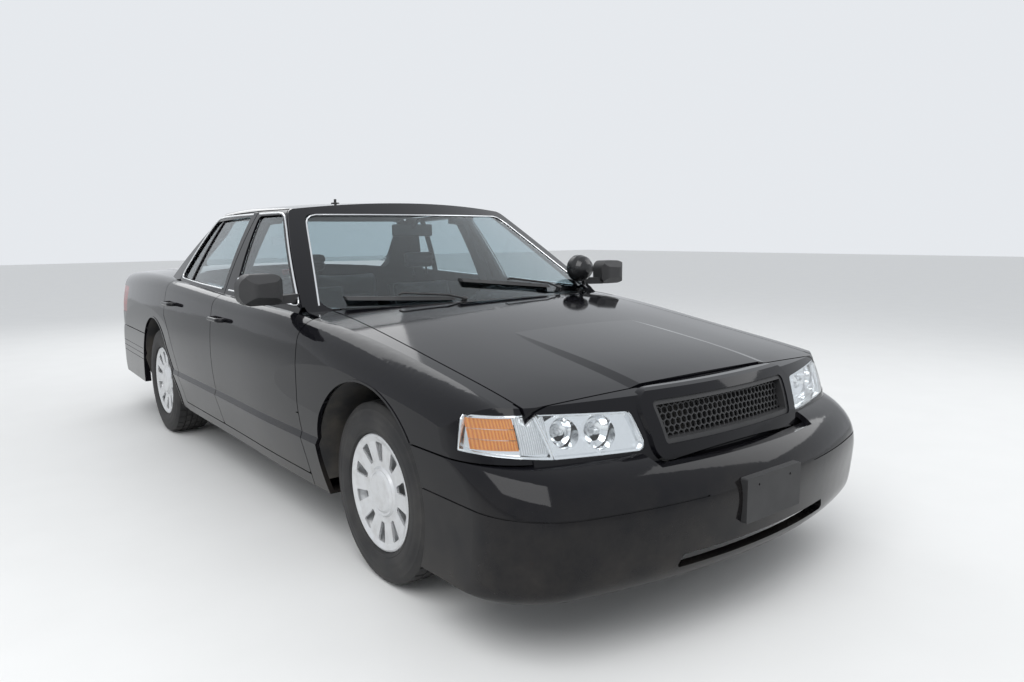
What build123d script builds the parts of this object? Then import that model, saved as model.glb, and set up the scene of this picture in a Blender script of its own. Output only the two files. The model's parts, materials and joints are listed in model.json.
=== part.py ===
from build123d import *
from functools import lru_cache
from math import atan2, cos, hypot, radians, sin, sqrt, tan
import os

# Police patrol car, a four-door saloon on a separate frame. Millimetres.
# The nose points along -Y, +X is the car's left side, +Z is up, and the tyres stand on Z = 0.

# Driving sizes
wheelbase = 2913.0
front_axle_y = -1622.5
rear_axle_y = front_axle_y + wheelbase
front_track = 1610.0
rear_track = 1666.0

tyre_radius = 345.0
tyre_width = 235.0
rim_radius = 222.0
rim_width = 196.0
arch_radius = 405.0
arch_z = 365.0

nose_tip_y = -2680.0
bracket_reach = 14.0
tail_tip_y = bracket_reach - nose_tip_y

# Walls and clearances
panel_gap = 6.0
fit_gap = 0.3
skin = 14.0
lid_thickness = 30.0
roof_thickness = 32.0
pillar_thickness = 46.0
glass_thickness = 5.0
glass_recess = 11.0
door_inner_x = 872.0
liner_thickness = 6.0
lid_clearance = 5.0

# Where the panels part, on the side view
fender_rear_y = -1082.0
door_split_y = 50.0
door_split_top_y = 76.0
rear_door_y = 990.0
door_bottom_z = 290.0
belt_z = 1000.0
sill_bottom_z = 235.0
sill_inner_x = 790.0

# Frame and floor
rail_inner_x = 400.0
rail_width = 80.0
rail_height = 90.0
rail_low_z = 235.0
floor_z = rail_low_z + rail_height / 2
floor_thickness = 8.0
floor_half = 864.0
firewall_y = -1000.0
boot_floor_z = 470.0


# Drawing helpers

def circle_through(p, q, r):
    (ax, ay), (bx, by), (cx, cy) = p, q, r
    twice = 2 * (ax * (by - cy) + bx * (cy - ay) + cx * (ay - by))
    sa, sb, sc = ax * ax + ay * ay, bx * bx + by * by, cx * cx + cy * cy
    ux = (sa * (by - cy) + sb * (cy - ay) + sc * (ay - by)) / twice
    uy = (sa * (cx - bx) + sb * (ax - cx) + sc * (bx - ax)) / twice
    return (ux, uy), hypot(ax - ux, ay - uy)


def blend(centre_a, radius_a, centre_b, radius_b, radius, near):
    """Arc of a small radius inside two circles and tangent to both: its centre and the two touching points."""
    a, b = radius_a - radius, radius_b - radius
    dx, dy = centre_b[0] - centre_a[0], centre_b[1] - centre_a[1]
    apart = hypot(dx, dy)
    along = (a * a - b * b + apart * apart) / (2 * apart)
    across = sqrt(a * a - along * along)
    centres = [
        (
            centre_a[0] + (along * dx - s * across * dy) / apart,
            centre_a[1] + (along * dy + s * across * dx) / apart,
        )
        for s in (1, -1)
    ]
    centre = min(centres, key=lambda c: hypot(c[0] - near[0], c[1] - near[1]))

    def touch(o, r):
        k = r / hypot(centre[0] - o[0], centre[1] - o[1])
        return (o[0] + k * (centre[0] - o[0]), o[1] + k * (centre[1] - o[1]))

    return centre, touch(centre_a, radius_a), touch(centre_b, radius_b)


def arc_middle(centre, radius, p, q):
    mx, my = (p[0] + q[0]) / 2 - centre[0], (p[1] + q[1]) / 2 - centre[1]
    k = radius / hypot(mx, my)
    return (centre[0] + k * mx, centre[1] + k * my)


def arc(start, middle, end, lift):
    """Arc through three points of a flat section, as a light cubic curve. lift turns (u, v) into a point."""
    centre, radius = circle_through(start, middle, end)
    ax, ay = start[0] - centre[0], start[1] - centre[1]
    bx, by = end[0] - centre[0], end[1] - centre[1]
    turn = atan2(ax * by - ay * bx, ax * bx + ay * by)
    k = 4 / 3 * tan(turn / 4)
    handle_a = (start[0] - ay * k, start[1] + ax * k)
    handle_b = (end[0] + by * k, end[1] - bx * k)
    return Bezier(*[lift(*point) for point in (start, handle_a, handle_b, end)])


def at(axis, level, u, v):
    return {"x": (level, u, v), "y": (u, level, v), "z": (u, v, level)}[axis]


def outline(axis, level, points):
    """Closed wire square to an axis. A point is (u, v), or (u, v, radius) for a rounded corner."""
    legs = []
    count = len(points)
    for i, point in enumerate(points):
        before, after = points[i - 1], points[(i + 1) % count]
        radius = point[2] if len(point) == 3 else 0
        if not radius:
            legs.append((point[:2], None, point[:2]))
            continue
        ax, ay = before[0] - point[0], before[1] - point[1]
        bx, by = after[0] - point[0], after[1] - point[1]
        la, lb = hypot(ax, ay), hypot(bx, by)
        ax, ay, bx, by = ax / la, ay / la, bx / lb, by / lb
        half = atan2(abs(ax * by - ay * bx), ax * bx + ay * by) / 2
        reach = radius / tan(half)
        mx, my = ax + bx, ay + by
        scale = hypot(mx, my)
        deep = radius / sin(half) - radius
        middle = (point[0] + mx / scale * deep, point[1] + my / scale * deep)
        start = (point[0] + ax * reach, point[1] + ay * reach)
        end = (point[0] + bx * reach, point[1] + by * reach)
        legs.append((start, middle, end))
    edges = []
    for i, (start, middle, end) in enumerate(legs):
        if middle:
            edges.append(ThreePointArc(at(axis, level, *start), at(axis, level, *middle), at(axis, level, *end)))
        following = legs[(i + 1) % count][0]
        if hypot(following[0] - end[0], following[1] - end[1]) > 0.001:
            edges.append(Line(at(axis, level, *end), at(axis, level, *following)))
    return Wire(edges)


def slab(axis, low, high, points):
    """Solid between two levels on an axis with the given outline."""
    push = Vector(*at(axis, high - low, 0, 0))
    return Solid.extrude(Face(outline(axis, low, points)), push)


def block(x0, x1, y0, y1, z0, z1):
    return Pos((x0 + x1) / 2, (y0 + y1) / 2, (z0 + z1) / 2) * Box(x1 - x0, y1 - y0, z1 - z0)


def rod(start, end, radius):
    """Round bar between two points."""
    axis = Vector(*end) - Vector(*start)
    plane = Plane(origin=start, z_dir=axis)
    return extrude(plane * Circle(radius), axis.length)


def tube_x(x0, x1, y, z, radius):
    return rod((x0, y, z), (x1, y, z), radius)


def bent_bar(points, radius, bend):
    """Round bar along straight runs joined by bends."""
    path = FilletPolyline(*points, radius=bend)
    plane = Plane(origin=points[0], z_dir=Vector(*points[1]) - Vector(*points[0]))
    return sweep(plane * Circle(radius), path=path)


def right_of(shape):
    return shape.mirror(Plane.YZ)


def both(shape):
    return [shape, right_of(shape)]


def offset_line(start, end, distance):
    """A line on the side view moved to its left by a distance."""
    dy, dz = end[0] - start[0], end[1] - start[1]
    size = hypot(dy, dz)
    ny, nz = -dz / size * distance, dy / size * distance
    return (start[0] + ny, start[1] + nz), (end[0] + ny, end[1] + nz)


def on_line(start, end, z):
    """Y where a side-view line passes a height."""
    return start[0] + (end[0] - start[0]) * (z - start[1]) / (end[1] - start[1])


def section_wire(y, left, crown):
    """Cross-section from its left half's lines and arcs, closed over a crown and along the bottom."""
    def lift(x, z):
        return (x, y, z)

    def leg(points):
        return arc(*points, lift) if len(points) == 3 else Line(lift(*points[0]), lift(*points[1]))

    right = [[(-x, z) for x, z in reversed(points)] for points in reversed(left)]
    over = [left[-1][-1], (0, crown), right[0][0]]
    under = [right[-1][-1], left[0][0]]
    return Wire([leg(points) for points in [under, *left, over, *right]])


# Body below the windows: cross-sections joined along the car
sill_kick_z = 455.0
sill_lip_z = 483.0
wide_z = 650.0
upper_z = 860.0
sill_lip_step = 9.0
crown_radius = 8800.0

# y, half width at the sill, at the ledge, at its widest, at the shoulder's foot, crown height, shoulder radius
body_sections = [
    (-2600, 852, 900, 906, 890, 728, 70),
    (-2440, 880, 922, 930, 913, 786, 90),
    (-2200, 905, 945, 953, 938, 838, 120),
    (-1622, 918, 966, 978, 964, 928, 150),
    (-1090, 924, 980, 990, 977, 996, 110),
    (-300, 926, 986, 993, 982, 1030, 85),
    (600, 926, 986, 993, 982, 1060, 80),
    (1290, 922, 980, 988, 976, 1082, 95),
    (2000, 905, 958, 966, 950, 1078, 110),
    (2450, 880, 930, 938, 918, 1058, 110),
    (2720, 858, 902, 909, 888, 1036, 110),
]


def body_section(y, sill, ledge, wide, upper, crown, shoulder, inset):
    sill, ledge, wide, upper = (half - inset for half in (sill, ledge, wide, upper))
    bottom = sill_bottom_z + inset
    crown = crown - inset
    crown_centre = (0, crown - crown_radius)
    lip = (ledge - sill_lip_step, sill_lip_z)
    side_centre, side_radius = circle_through(lip, (wide, wide_z), (upper, upper_z))
    radius = max(shoulder - inset, 12)
    near = (upper - radius, crown - 50 - radius)
    corner, low, high = blend(side_centre, side_radius, crown_centre, crown_radius, radius, near)
    side_middle = arc_middle(side_centre, side_radius, lip, low)
    corner_middle = arc_middle(corner, radius, low, high)

    left = [
        [(sill, bottom), (ledge, sill_kick_z)],
        [(ledge, sill_kick_z), lip],
        [lip, side_middle, low],
        [low, corner_middle, high],
    ]
    return section_wire(y, left, crown)


# The body's ends on the plan: a wide arc across, a corner arc, and sides that widen towards the doors
middle_half = 1020.0
nose_radius, nose_corner, nose_half, nose_reach = 2500.0, 297.0, 956.0, 2150.0
tail_radius, tail_corner, tail_half, tail_reach = 4000.0, 280.0, 950.0, 2300.0


def end_corner(tip, radius, corner, half, reach, inset):
    """Touching points and middle of one corner arc, as distances across and along."""
    along, out = middle_half - half, reach
    size = hypot(along, out)
    tx, td = -along / size, out / size
    nx, nd = td, -tx
    side = nx * half + nd * reach
    centre_d = tip - radius
    lift = side - corner - nd * centre_d
    run = sqrt((radius - corner) ** 2 - lift ** 2)
    cx, cd = nx * lift + tx * run, centre_d + nd * lift + td * run
    ux, ud = cx / (radius - corner), (cd - centre_d) / (radius - corner)
    r = corner - inset
    mx, md = ux + nx, ud + nd
    size = hypot(mx, md)
    return (
        (cx + ux * r, cd + ud * r),
        (cx + mx / size * r, cd + md / size * r),
        (cx + nx * r, cd + nd * r),
    )


def plan_section(z, nose, tail, inset):
    """Closed outline of the body on the plan at one height."""
    nose_points = end_corner(-nose, nose_radius, nose_corner, nose_half, nose_reach, inset)
    tail_points = end_corner(tail, tail_radius, tail_corner, tail_half, tail_reach, inset)
    def lift(x, y):
        return (x, y, z)

    a = [(x, -d) for x, d in nose_points]
    b = [(x, d) for x, d in tail_points]
    edges = [arc((-a[0][0], a[0][1]), (0, nose + inset), a[0], lift)]
    for side in (1, -1):
        front, rear = [(side * x, y) for x, y in a], [(side * x, y) for x, y in b]
        belt = lift(side * (middle_half - inset), 0)
        edges += [arc(*front, lift), Line(lift(*front[2]), belt)]
        edges += [Line(belt, lift(*rear[2])), arc(*rear[::-1], lift)]
    edges.append(arc(b[0], (0, tail - inset), (-b[0][0], b[0][1]), lift))
    return Wire(edges)


# height, nose, tail
body_ends = [
    (150, -2580, 2575),
    (400, -2562, 2622),
    (610, -2536, 2640),
    (740, -2490, 2640),
    (860, -2410, 2628),
    (1120, -2280, 2550),
]

front_bumper_ends = [
    (205, nose_tip_y + 72, 2000),
    (262, nose_tip_y + 20, 2000),
    (400, nose_tip_y, 2000),
    (490, nose_tip_y + 6, 2000),
    (556, nose_tip_y + 50, 2000),
    (610, nose_tip_y + 152, 2000),
]

rear_bumper_ends = [
    (282, -2000, tail_tip_y - 52),
    (345, -2000, tail_tip_y - 12),
    (470, -2000, tail_tip_y),
    (575, -2000, tail_tip_y - 10),
    (632, -2000, tail_tip_y - 48),
]


def plan_block(table, inset):
    return Solid.make_loft([plan_section(z, nose, tail, inset) for z, nose, tail in table])


@lru_cache(None)
def body(inset):
    """The closed lower body, drawn in by an inset."""
    sides = Solid.make_loft([body_section(*row, inset) for row in body_sections])
    return sides & plan_block(body_ends, inset)


def body_wall(outer, inner, space):
    """The wall between two insets of the body, inside a space."""
    return (body(outer) & space) - body(inner)


# Cabin above the belt line
cabin_foot_z = 950.0
cabin_side_z = (960.0, 1400.0)
cabin_side_radius = 2500.0
cabin_crown_radius = 5500.0
cabin_rail_radius = 62.0

# y, half width at the foot, half width at the roof rail, crown height
cabin_sections = [
    (-1300, 880, 640, 1452),
    (-300, 908, 688, 1470),
    (150, 915, 700, 1484),
    (600, 912, 696, 1477),
    (1000, 900, 682, 1440),
    (1500, 870, 640, 1350),
]

# Screens at the centre line, as (y, z) of the lower and upper edge, and their bend
screen_low, screen_high, screen_radius = (-1150.0, 985.0), (-420.0, 1440.0), 3150.0
rear_screen_low, rear_screen_high, rear_screen_radius = (1400.0, 1090.0), (812.0, 1445.0), 2600.0
screen_recess = 6.0
screen_foot_z, screen_foot_half, screen_top_half = 975.0, 818.0, 612.0
pillar_foot_y = -905.0


def cabin_section(y, foot, rail, crown, inset):
    foot, rail, crown = foot - inset, rail - inset, crown - inset
    low_z, high_z = cabin_side_z
    half = hypot(foot - rail, high_z - low_z) / 2
    sag = cabin_side_radius - sqrt(cabin_side_radius ** 2 - half ** 2)
    ux, uz = (high_z - low_z) / (2 * half), (foot - rail) / (2 * half)
    bulge = ((foot + rail) / 2 + ux * sag, (low_z + high_z) / 2 + uz * sag)
    side_centre, side_radius = circle_through((foot, low_z), bulge, (rail, high_z))
    crown_centre = (0, crown - cabin_crown_radius)
    radius = max(cabin_rail_radius - inset, 14)
    near = (rail - radius, high_z - radius)
    corner, low, high = blend(side_centre, side_radius, crown_centre, cabin_crown_radius, radius, near)
    side_middle = arc_middle(side_centre, side_radius, (foot, low_z), low)
    corner_middle = arc_middle(corner, radius, low, high)
    left = [
        [(foot, cabin_foot_z), (foot, low_z)],
        [(foot, low_z), side_middle, low],
        [low, corner_middle, high],
    ]
    return section_wire(y, left, crown)


def screen_cylinder(low, high, radius, inset):
    """Round bar whose outer face is a screen, drawn in by an inset."""
    run, rise = high[0] - low[0], high[1] - low[1]
    size = hypot(run, rise)
    out = (-rise / size, run / size) if run > 0 else (rise / size, -run / size)
    centre = (low[0] - out[0] * radius, low[1] - out[1] * radius)
    reach = 4000 / size
    start = (0, centre[0] - run * reach, centre[1] - rise * reach)
    end = (0, centre[0] + run * reach, centre[1] + rise * reach)
    return rod(start, end, radius - inset)


@lru_cache(None)
def front_screen(inset):
    return screen_cylinder(screen_low, screen_high, screen_radius, inset)


@lru_cache(None)
def rear_screen(inset):
    return screen_cylinder(rear_screen_low, rear_screen_high, rear_screen_radius, inset)


@lru_cache(None)
def cabin(inset):
    """The closed cabin, drawn in by an inset."""
    sides = Solid.make_loft([cabin_section(*row, inset) for row in cabin_sections])
    return sides & front_screen(inset) & rear_screen(inset)


def cabin_wall(outer, inner, space):
    """The wall between two insets of the cabin, inside a space."""
    return (cabin(outer) & space) - cabin(inner)


# Door frames and side windows on the side view, as (y, z)
a_line = ((-912.0, 980.0), (-285.0, 1426.0))
c_line = ((738.0, 1396.0), (974.0, 1043.0))
frame_width = 26.0
frame_gap = 9.0
door_top_z = 1426.0
front_belt = (984.0, 1012.0)
rear_belt = (1014.0, 1044.0)
front_pillar_line = ((-100.0, 1006.0), (28.0, 1402.0))
rear_pillar_line = ((86.0, 1014.0), (146.0, 1400.0))
window_top = ((-300.0, 1402.0), (140.0, 1401.0), (740.0, 1381.0))
# Corner radii of the side windows: low front, low rear, top rear, top front
front_window_corners = (22.0, 22.0, 22.0, 70.0)
rear_window_corners = (22.0, 22.0, 60.0, 22.0)
frame_inner_x = 620.0

# The rear door's lower rear edge is an arc about the rear wheel
rear_door_arc = 537.0
door_flange = 8.0
door_step = 24.0


def on_z(line, y):
    (y0, z0), (y1, z1) = line
    return z0 + (z1 - z0) * (y - y0) / (y1 - y0)


def crossing(line_a, line_b):
    (x1, y1), (x2, y2) = line_a
    (x3, y3), (x4, y4) = line_b
    d = (x1 - x2) * (y3 - y4) - (y1 - y2) * (x3 - x4)
    a, b = x1 * y2 - y1 * x2, x3 * y4 - y3 * x4
    return ((a * (x3 - x4) - (x1 - x2) * b) / d, (a * (y3 - y4) - (y1 - y2) * b) / d)


def front_door_outline(grow):
    half = panel_gap / 2
    top = door_top_z + grow
    a = offset_line(*a_line, grow)
    front, bottom, rear = fender_rear_y + half - grow, door_bottom_z + half - grow, door_split_y - half + grow
    return [
        (front, bottom, 18),
        (front, on_z(a, front) if grow < 0 else belt_z - 20),
        (on_line(*a, belt_z - 18), belt_z - 18),
        (on_line(*a, top), top, 50),
        (door_split_top_y - frame_gap / 2 + grow, top),
        (door_split_y - frame_gap / 2 + grow, belt_z + 30),
        (rear, belt_z - 30),
        (rear, bottom, 18),
    ]


def rear_door_outline(grow):
    """Outline without the wheel-arch curve, which is cut by a cylinder."""
    half = panel_gap / 2
    top = door_top_z + grow
    c = offset_line(*c_line, grow)
    front, bottom, rear = door_split_y + half - grow, door_bottom_z + half - grow, rear_door_y - half + grow
    return [
        (front, bottom, 18),
        (front, belt_z - 30),
        (door_split_y + frame_gap / 2 - grow, belt_z + 30),
        (door_split_top_y + frame_gap / 2 - grow, top),
        (on_line(*c, top - 14), top - 14, 40),
        (rear, on_z(c, rear), 20),
        (rear, bottom),
    ]


def door_space(name, grow, x0=300, x1=1100):
    if name == "front":
        return slab("x", x0, x1, front_door_outline(grow))
    space = slab("x", x0, x1, rear_door_outline(grow))
    return space - tube_x(x0 - 1, x1 + 1, rear_axle_y, arch_z, rear_door_arc + panel_gap / 2 - grow)


def window_space(name, grow, x0=300, x1=1100):
    """The window opening. Its lines run round it clockwise, so that growing moves each to its left."""
    if name == "front":
        lines = [
            ((-900, front_belt[0]), (-100, front_belt[1])),
            front_pillar_line,
            (window_top[1], window_top[0]),
            offset_line(*a_line, -frame_width)[::-1],
        ]
        radii = front_window_corners
    else:
        lines = [
            ((88, rear_belt[0]), (949, rear_belt[1])),
            offset_line(*c_line, -frame_width)[::-1],
            (window_top[2], window_top[1]),
            rear_pillar_line[::-1],
        ]
        radii = rear_window_corners
    grown = [offset_line(*line, -grow) for line in lines]
    corners = [crossing(grown[i - 1], grown[i]) for i in range(len(grown))]
    return slab("x", x0, x1, [(*point, radius + grow) for point, radius in zip(corners, radii)])


# Panels cut from the body
hood_rear_centre_y, hood_rear_side_y = -1190.0, -1000.0
hood_half_rear, hood_half_front = 770.0, 796.0
hood_front_y, hood_front_side_y = -2402.0, -2352.0
hood_gap_rear = 12.0
lid_front_y = 1442.0
lid_half_front, lid_half_rear = 700.0, 640.0
lid_lower_half, lid_bottom_z, lid_shoulder_z = 470.0, 700.0, 925.0
lid_lower_y = 2300.0
arch_wall_x = 500.0
bumper_top_z = 610.0
rear_bumper_top_z = 632.0
far = 1100.0


def arc_slab(points, z0, z1):
    """Solid on the plan between two heights whose outline is arcs and lines.

    A point is (x, y), or (x, y, x, y) for the middle and end of an arc from the point before.
    """
    edges = []
    previous = points[-1][-2:]
    for point in points:
        end = point[-2:]
        if len(point) == 4:
            edges.append(ThreePointArc((*previous, z0), (*point[:2], z0), (*end, z0)))
        else:
            edges.append(Line((*previous, z0), (*end, z0)))
        previous = end
    return Solid.extrude(Face(Wire(edges)), Vector(0, 0, z1 - z0))


def hood_space(grow, rear_grow=None):
    rear = grow if rear_grow is None else rear_grow
    front, rear_x = hood_half_front + grow, hood_half_rear + grow
    return arc_slab([
        (rear_x, hood_rear_side_y + rear),
        (0, hood_rear_centre_y + rear, -rear_x, hood_rear_side_y + rear),
        (-front, hood_front_side_y - grow),
        (0, hood_front_y - grow, front, hood_front_side_y - grow),
    ], 300, 1300)


def arch_cut(y, radius=arch_radius):
    return tube_x(-1200, 1200, y, arch_z, radius)


arch_lip_width, arch_lip_proud = 9.0, 3.0


def arch_lip(y, space):
    """Rolled edge that stands proud round a wheel arch."""
    return body_wall(-arch_lip_proud, skin, arch_cut(y, arch_radius + arch_lip_width) & space)


def largest(shape):
    return max(shape.solids(), key=lambda s: s.volume)


hood_pin_y, hood_pin_z, hood_pin_radius = hood_rear_side_y - 14, 953.0, 5.0

# Radius that the hood's rear edge needs about its pins
hood_sweep_radius = 26.0


def hood_sweep():
    half = hood_half_rear + panel_gap
    return tube_x(-half, half, hood_pin_y, hood_pin_z, hood_sweep_radius)


# The hood's raised middle: half widths at its top and its foot, and its height at each front body section
dome_half, dome_foot_half, dome_depth = 335.0, 405.0, 18.0
dome_heights = (11.0, 9.0, 8.0, -2.0, -6.0, -6.0)


def dome_section(y, crown, height):
    """Cross-section of the raised middle: an arc across, sloped sides and a flat base under the skin."""
    def surface(x):
        return crown - crown_radius + sqrt(crown_radius ** 2 - x * x)

    def lift(x, z):
        return (x, y, z)

    top, foot = surface(dome_half) + height, surface(dome_foot_half) - 4
    base = surface(dome_foot_half) - dome_depth
    over = arc((-dome_half, top), (0, crown + height), (dome_half, top), lift)
    corners = [(dome_half, top), (dome_foot_half, foot), (dome_foot_half, base)]
    corners += [(-x, z) for x, z in reversed(corners)]
    sides = [Line(lift(*p), lift(*q)) for p, q in zip(corners, corners[1:])]
    return Wire([over, *sides])


def hood_dome():
    sections = [dome_section(row[0], row[5], height) for row, height in zip(body_sections, dome_heights)]
    return Solid.make_loft(sections) & hood_space(-panel_gap / 2)


def hood():
    panel = body_wall(0, lid_thickness, hood_space(-panel_gap / 2)) + hood_dome()
    x = hood_half_rear - 34 - fit_gap
    for side in (x, -x):
        panel -= tube_x(*sorted((side, side * 2)), hood_pin_y, hood_pin_z, hood_pin_radius + fit_gap)
    return panel


def front_fender():
    low = bumper_top_z + panel_gap
    rear = fender_rear_y - panel_gap / 2
    space = slab("x", 480, far, [
        (-2700, low), (-2700, 1300), (rear, 1300), (rear, sill_bottom_z + 4),
        (front_axle_y, sill_bottom_z + 4), (front_axle_y, low),
    ])
    space -= block(0, nose_split_x + panel_gap / 2, -2700, -2300, 0, 1200)
    space -= hood_space(panel_gap / 2, rear_grow=hood_gap_rear)
    panel = body_wall(0, skin, space) + arch_lip(front_axle_y, space)
    panel -= arch_cut(front_axle_y)
    panel -= lamp_space("corner", fit_gap)
    panel -= lamp_space("head", fit_gap)
    return largest(panel)


# Front lamps, on the front view as (x, z, corner radius)
head_lamp = [(415, 614, 22), (449, 737, 22), (767, 757, 1), (737, 624, 1)]
corner_lamp = [(737.6, 624, 1), (767.6, 757, 1), (1000, 757, 8), (1000, 651, 8)]
head_lamp_rear_y, corner_lamp_rear_y = -2330.0, -2204.0
nose_split_x = 800.0
lens_recess, lens_thickness = 2.0, 4.0
lamp_depth, lamp_wall, lamp_face = 70.0, 6.0, 22.0
bowl_depth = 34.0

# x, z, radius and the Y of the rim of each reflector bowl
lamp_bowls = {
    "head": [(560, 682, 54, -2412), (678, 690, 46, -2376)],
    "corner": [(800, 690, 40, -2305)],
}


def grown_outline(points, grow):
    """Outline moved outwards by a distance. The points run clockwise."""
    count = len(points)
    lines = [offset_line(points[i][:2], points[(i + 1) % count][:2], grow) for i in range(count)]
    return [(*crossing(lines[i - 1], lines[i]), max(points[i][2] + grow, 1)) for i in range(count)]


def lamp_space(name, grow):
    points, rear = (head_lamp, head_lamp_rear_y) if name == "head" else (corner_lamp, corner_lamp_rear_y)
    return slab("y", -2750, rear + grow, grown_outline(points, grow))


grille_opening = [(-348, 622, 20), (-367, 760, 20), (367, 760, 20), (348, 622, 20)]
nose_depth = 40.0
bumper_notch_z = 574.0


# The grille's own frame: its origin is on the nose at the grille's middle, and its -Y points out of the nose
grille_middle_y, grille_middle_z, grille_tilt = -2513.0, 690.0, 19.0
surround_proud, surround_foot, surround_slope = 14.0, 42.0, 0.35
mesh_frame = 16.0
mesh_depth, mesh_thickness, mesh_half, mesh_height = 16.0, 7.0, 390.0, 220.0
cell_pitch, cell_wall, cell_rows, cell_columns = 25.0, 4.6, 3, 15
mesh_reach, mesh_spread = 339.0, 0.138


def at_grille(shape):
    return Pos(0, grille_middle_y, grille_middle_z) * Rot(-grille_tilt, 0, 0) * shape


def grille_surround():
    """Raised frame with sloped sides that stands proud of the nose round the grille."""
    levels = (-60, 60)
    rings = []
    for level in levels:
        points = grown_outline(grille_opening, surround_foot + surround_slope * level)
        rings.append(outline("y", level, [(x, z - grille_middle_z, r) for x, z, r in points]))
    ring = at_grille(Solid.make_loft(rings)) - hood_space(panel_gap / 2)
    return (ring & body(-surround_proud)) - body(20)


def nose_panel():
    """Body-colour panel round the grille and lamps."""
    low = bumper_notch_z - 10
    space = block(-nose_split_x, nose_split_x, -2700, -2150, low, 1200) - hood_space(panel_gap / 2)
    panel = body_wall(0, nose_depth, space) + (grille_surround() & block(-far, far, -2800, -2300, low, 1200))
    for name in ("head", "corner"):
        for shape in both(lamp_space(name, fit_gap)):
            panel -= shape
    panel -= slab("y", -2750, -2200, grille_opening)
    return largest(panel)


def honeycomb(inside):
    """Curved plate with six-sided cells, held all round in the frame."""
    front, back = mesh_depth, mesh_depth + mesh_thickness
    bend = mesh_half ** 2 / (2 * nose_radius)
    plate = arc_slab([
        (-mesh_half, front + bend), (0, front, mesh_half, front + bend),
        (mesh_half, back + bend), (0, back, -mesh_half, back + bend),
    ], -mesh_height / 2, mesh_height / 2)
    row_step = cell_pitch * sqrt(3) / 2
    cells = []
    for row in range(-cell_rows, cell_rows + 1):
        z = row * row_step
        reach = mesh_reach + z * mesh_spread
        for column in range(-cell_columns, cell_columns + 1):
            x = (column + (row % 2) / 2) * cell_pitch
            if abs(x) < reach:
                cells.append(hexagon(x, z))
    edge = [(x * mesh_half, z * mesh_height) for x, z in ((-1, -1), (1, -1), (1, 1), (-1, 1))]
    sheet = Face(outline("y", -20, edge), cells)
    return at_grille(Solid.extrude(sheet, Vector(0, 120, 0))) & (at_grille(plate) & inside)


def hexagon(x, z):
    """Outline of one cell."""
    radius = (cell_pitch - cell_wall) / sqrt(3)
    turns = [radians(60 * k) for k in range(6)]
    return outline("y", -20, [(x + radius * sin(turn), z + radius * cos(turn)) for turn in turns])


def grille():
    inside = slab("y", -2750, -2200, grown_outline(grille_opening, -fit_gap))
    hole = slab("y", -2751, -2199, grown_outline(grille_opening, -mesh_frame))
    ring = body_wall(-surround_proud + 6, 30, inside - hole)
    return [largest(ring), largest(honeycomb(hole))]


@lru_cache(None)
def lamp_parts(name):
    space = lamp_space(name, 0)
    lens = body_wall(lens_recess, lens_recess + lens_thickness, space - hood_space(panel_gap / 2))
    housing = body_wall(lens_recess + lens_thickness + fit_gap, lamp_depth, space)
    housing -= hood_space(panel_gap / 2) - body(lid_thickness + lid_clearance)
    housing -= lamp_space(name, -lamp_wall) - body(lamp_face)
    for x, z, radius, face_y in lamp_bowls[name]:
        housing -= lamp_bowl(x, z, radius, face_y)
        housing += rod((x, face_y + 8, z), (x, face_y + bowl_depth + 2, z), 9)
    return largest(lens), largest(housing)


def lamp_bowl(x, z, radius, face_y):
    """Round reflector bowl that opens towards the nose."""
    profile = outline("z", z, [(x, face_y - 60), (x + radius, face_y - 60), (x + radius, face_y),
                               (x + radius * 0.72, face_y + bowl_depth * 0.55, 18), (x, face_y + bowl_depth)])
    return Solid.revolve(Face(profile), 360, Axis((x, 0, z), (0, 1, 0)))


groove_depth, groove_height = 4.0, 5.0
front_groove = (478.0, 483.0)
bare_half = 300.0
rear_groove_levels = (440.0, 478.0, 516.0)


def front_bumper():
    space = block(-far, far, -2800, -1900, 0, 1500)
    cover = (plan_block(front_bumper_ends, 0) & space) - plan_block(front_bumper_ends, 40)
    cover -= arch_cut(front_axle_y, arch_radius + liner_thickness + fit_gap)
    cover -= slab("y", -2800, -2400, [(-420, 262, 12), (-395, 306, 12), (395, 306, 12), (420, 262, 12)])
    cover -= slab("y", -2800, -2300, [(-455, 640), (-425, bumper_notch_z), (425, bumper_notch_z), (455, 640)])
    groove = block(-far, far, -2800, -2000, *front_groove)
    groove -= block(-bare_half, bare_half, -2800, -2500, 0, 700)
    cover -= groove - plan_block(front_bumper_ends, groove_depth)
    cover -= body(-fit_gap) & block(-nose_split_x - 1, nose_split_x + 1, -2800, -1500, bumper_top_z - 47, 1500)
    cover -= plate_space(-fit_gap)
    return largest(cover)


def rear_bumper():
    space = block(-far, far, rear_axle_y, 2800, 0, 1500)
    cover = (plan_block(rear_bumper_ends, 0) & space) - plan_block(rear_bumper_ends, 40)
    grooves = [block(-far, far, 1700, 2800, z, z + groove_height) for z in rear_groove_levels]
    deep = plan_block(rear_bumper_ends, groove_depth)
    for groove in grooves:
        cover -= groove - deep
    return largest(cover - arch_cut(rear_axle_y, arch_radius + liner_thickness + fit_gap))


tail_lamp = [(478, 712, 14), (478, 914, 14), (1000, 930, 14), (1000, 742, 14)]
tail_lamp_depth = 60.0


def tail_lamp_space(grow):
    return slab("y", 2200, 2800, grown_outline(tail_lamp, grow))


def tail_lamps():
    return both(largest(body_wall(2, tail_lamp_depth, tail_lamp_space(0))))


def lid_space(grow):
    upper = slab("z", lid_shoulder_z - grow, 1300, [
        (-lid_half_front - grow, lid_front_y - grow, 50), (lid_half_front + grow, lid_front_y - grow, 50),
        (lid_half_rear + grow, 2900), (-lid_half_rear - grow, 2900),
    ])
    half = lid_lower_half + grow
    return upper + block(-half, half, lid_lower_y - grow, 2900, lid_bottom_z - grow, 1300)


lid_hinge_x, lid_hinge_y, lid_hinge_z = 200.0, lid_front_y + 13, 1071.0


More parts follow.
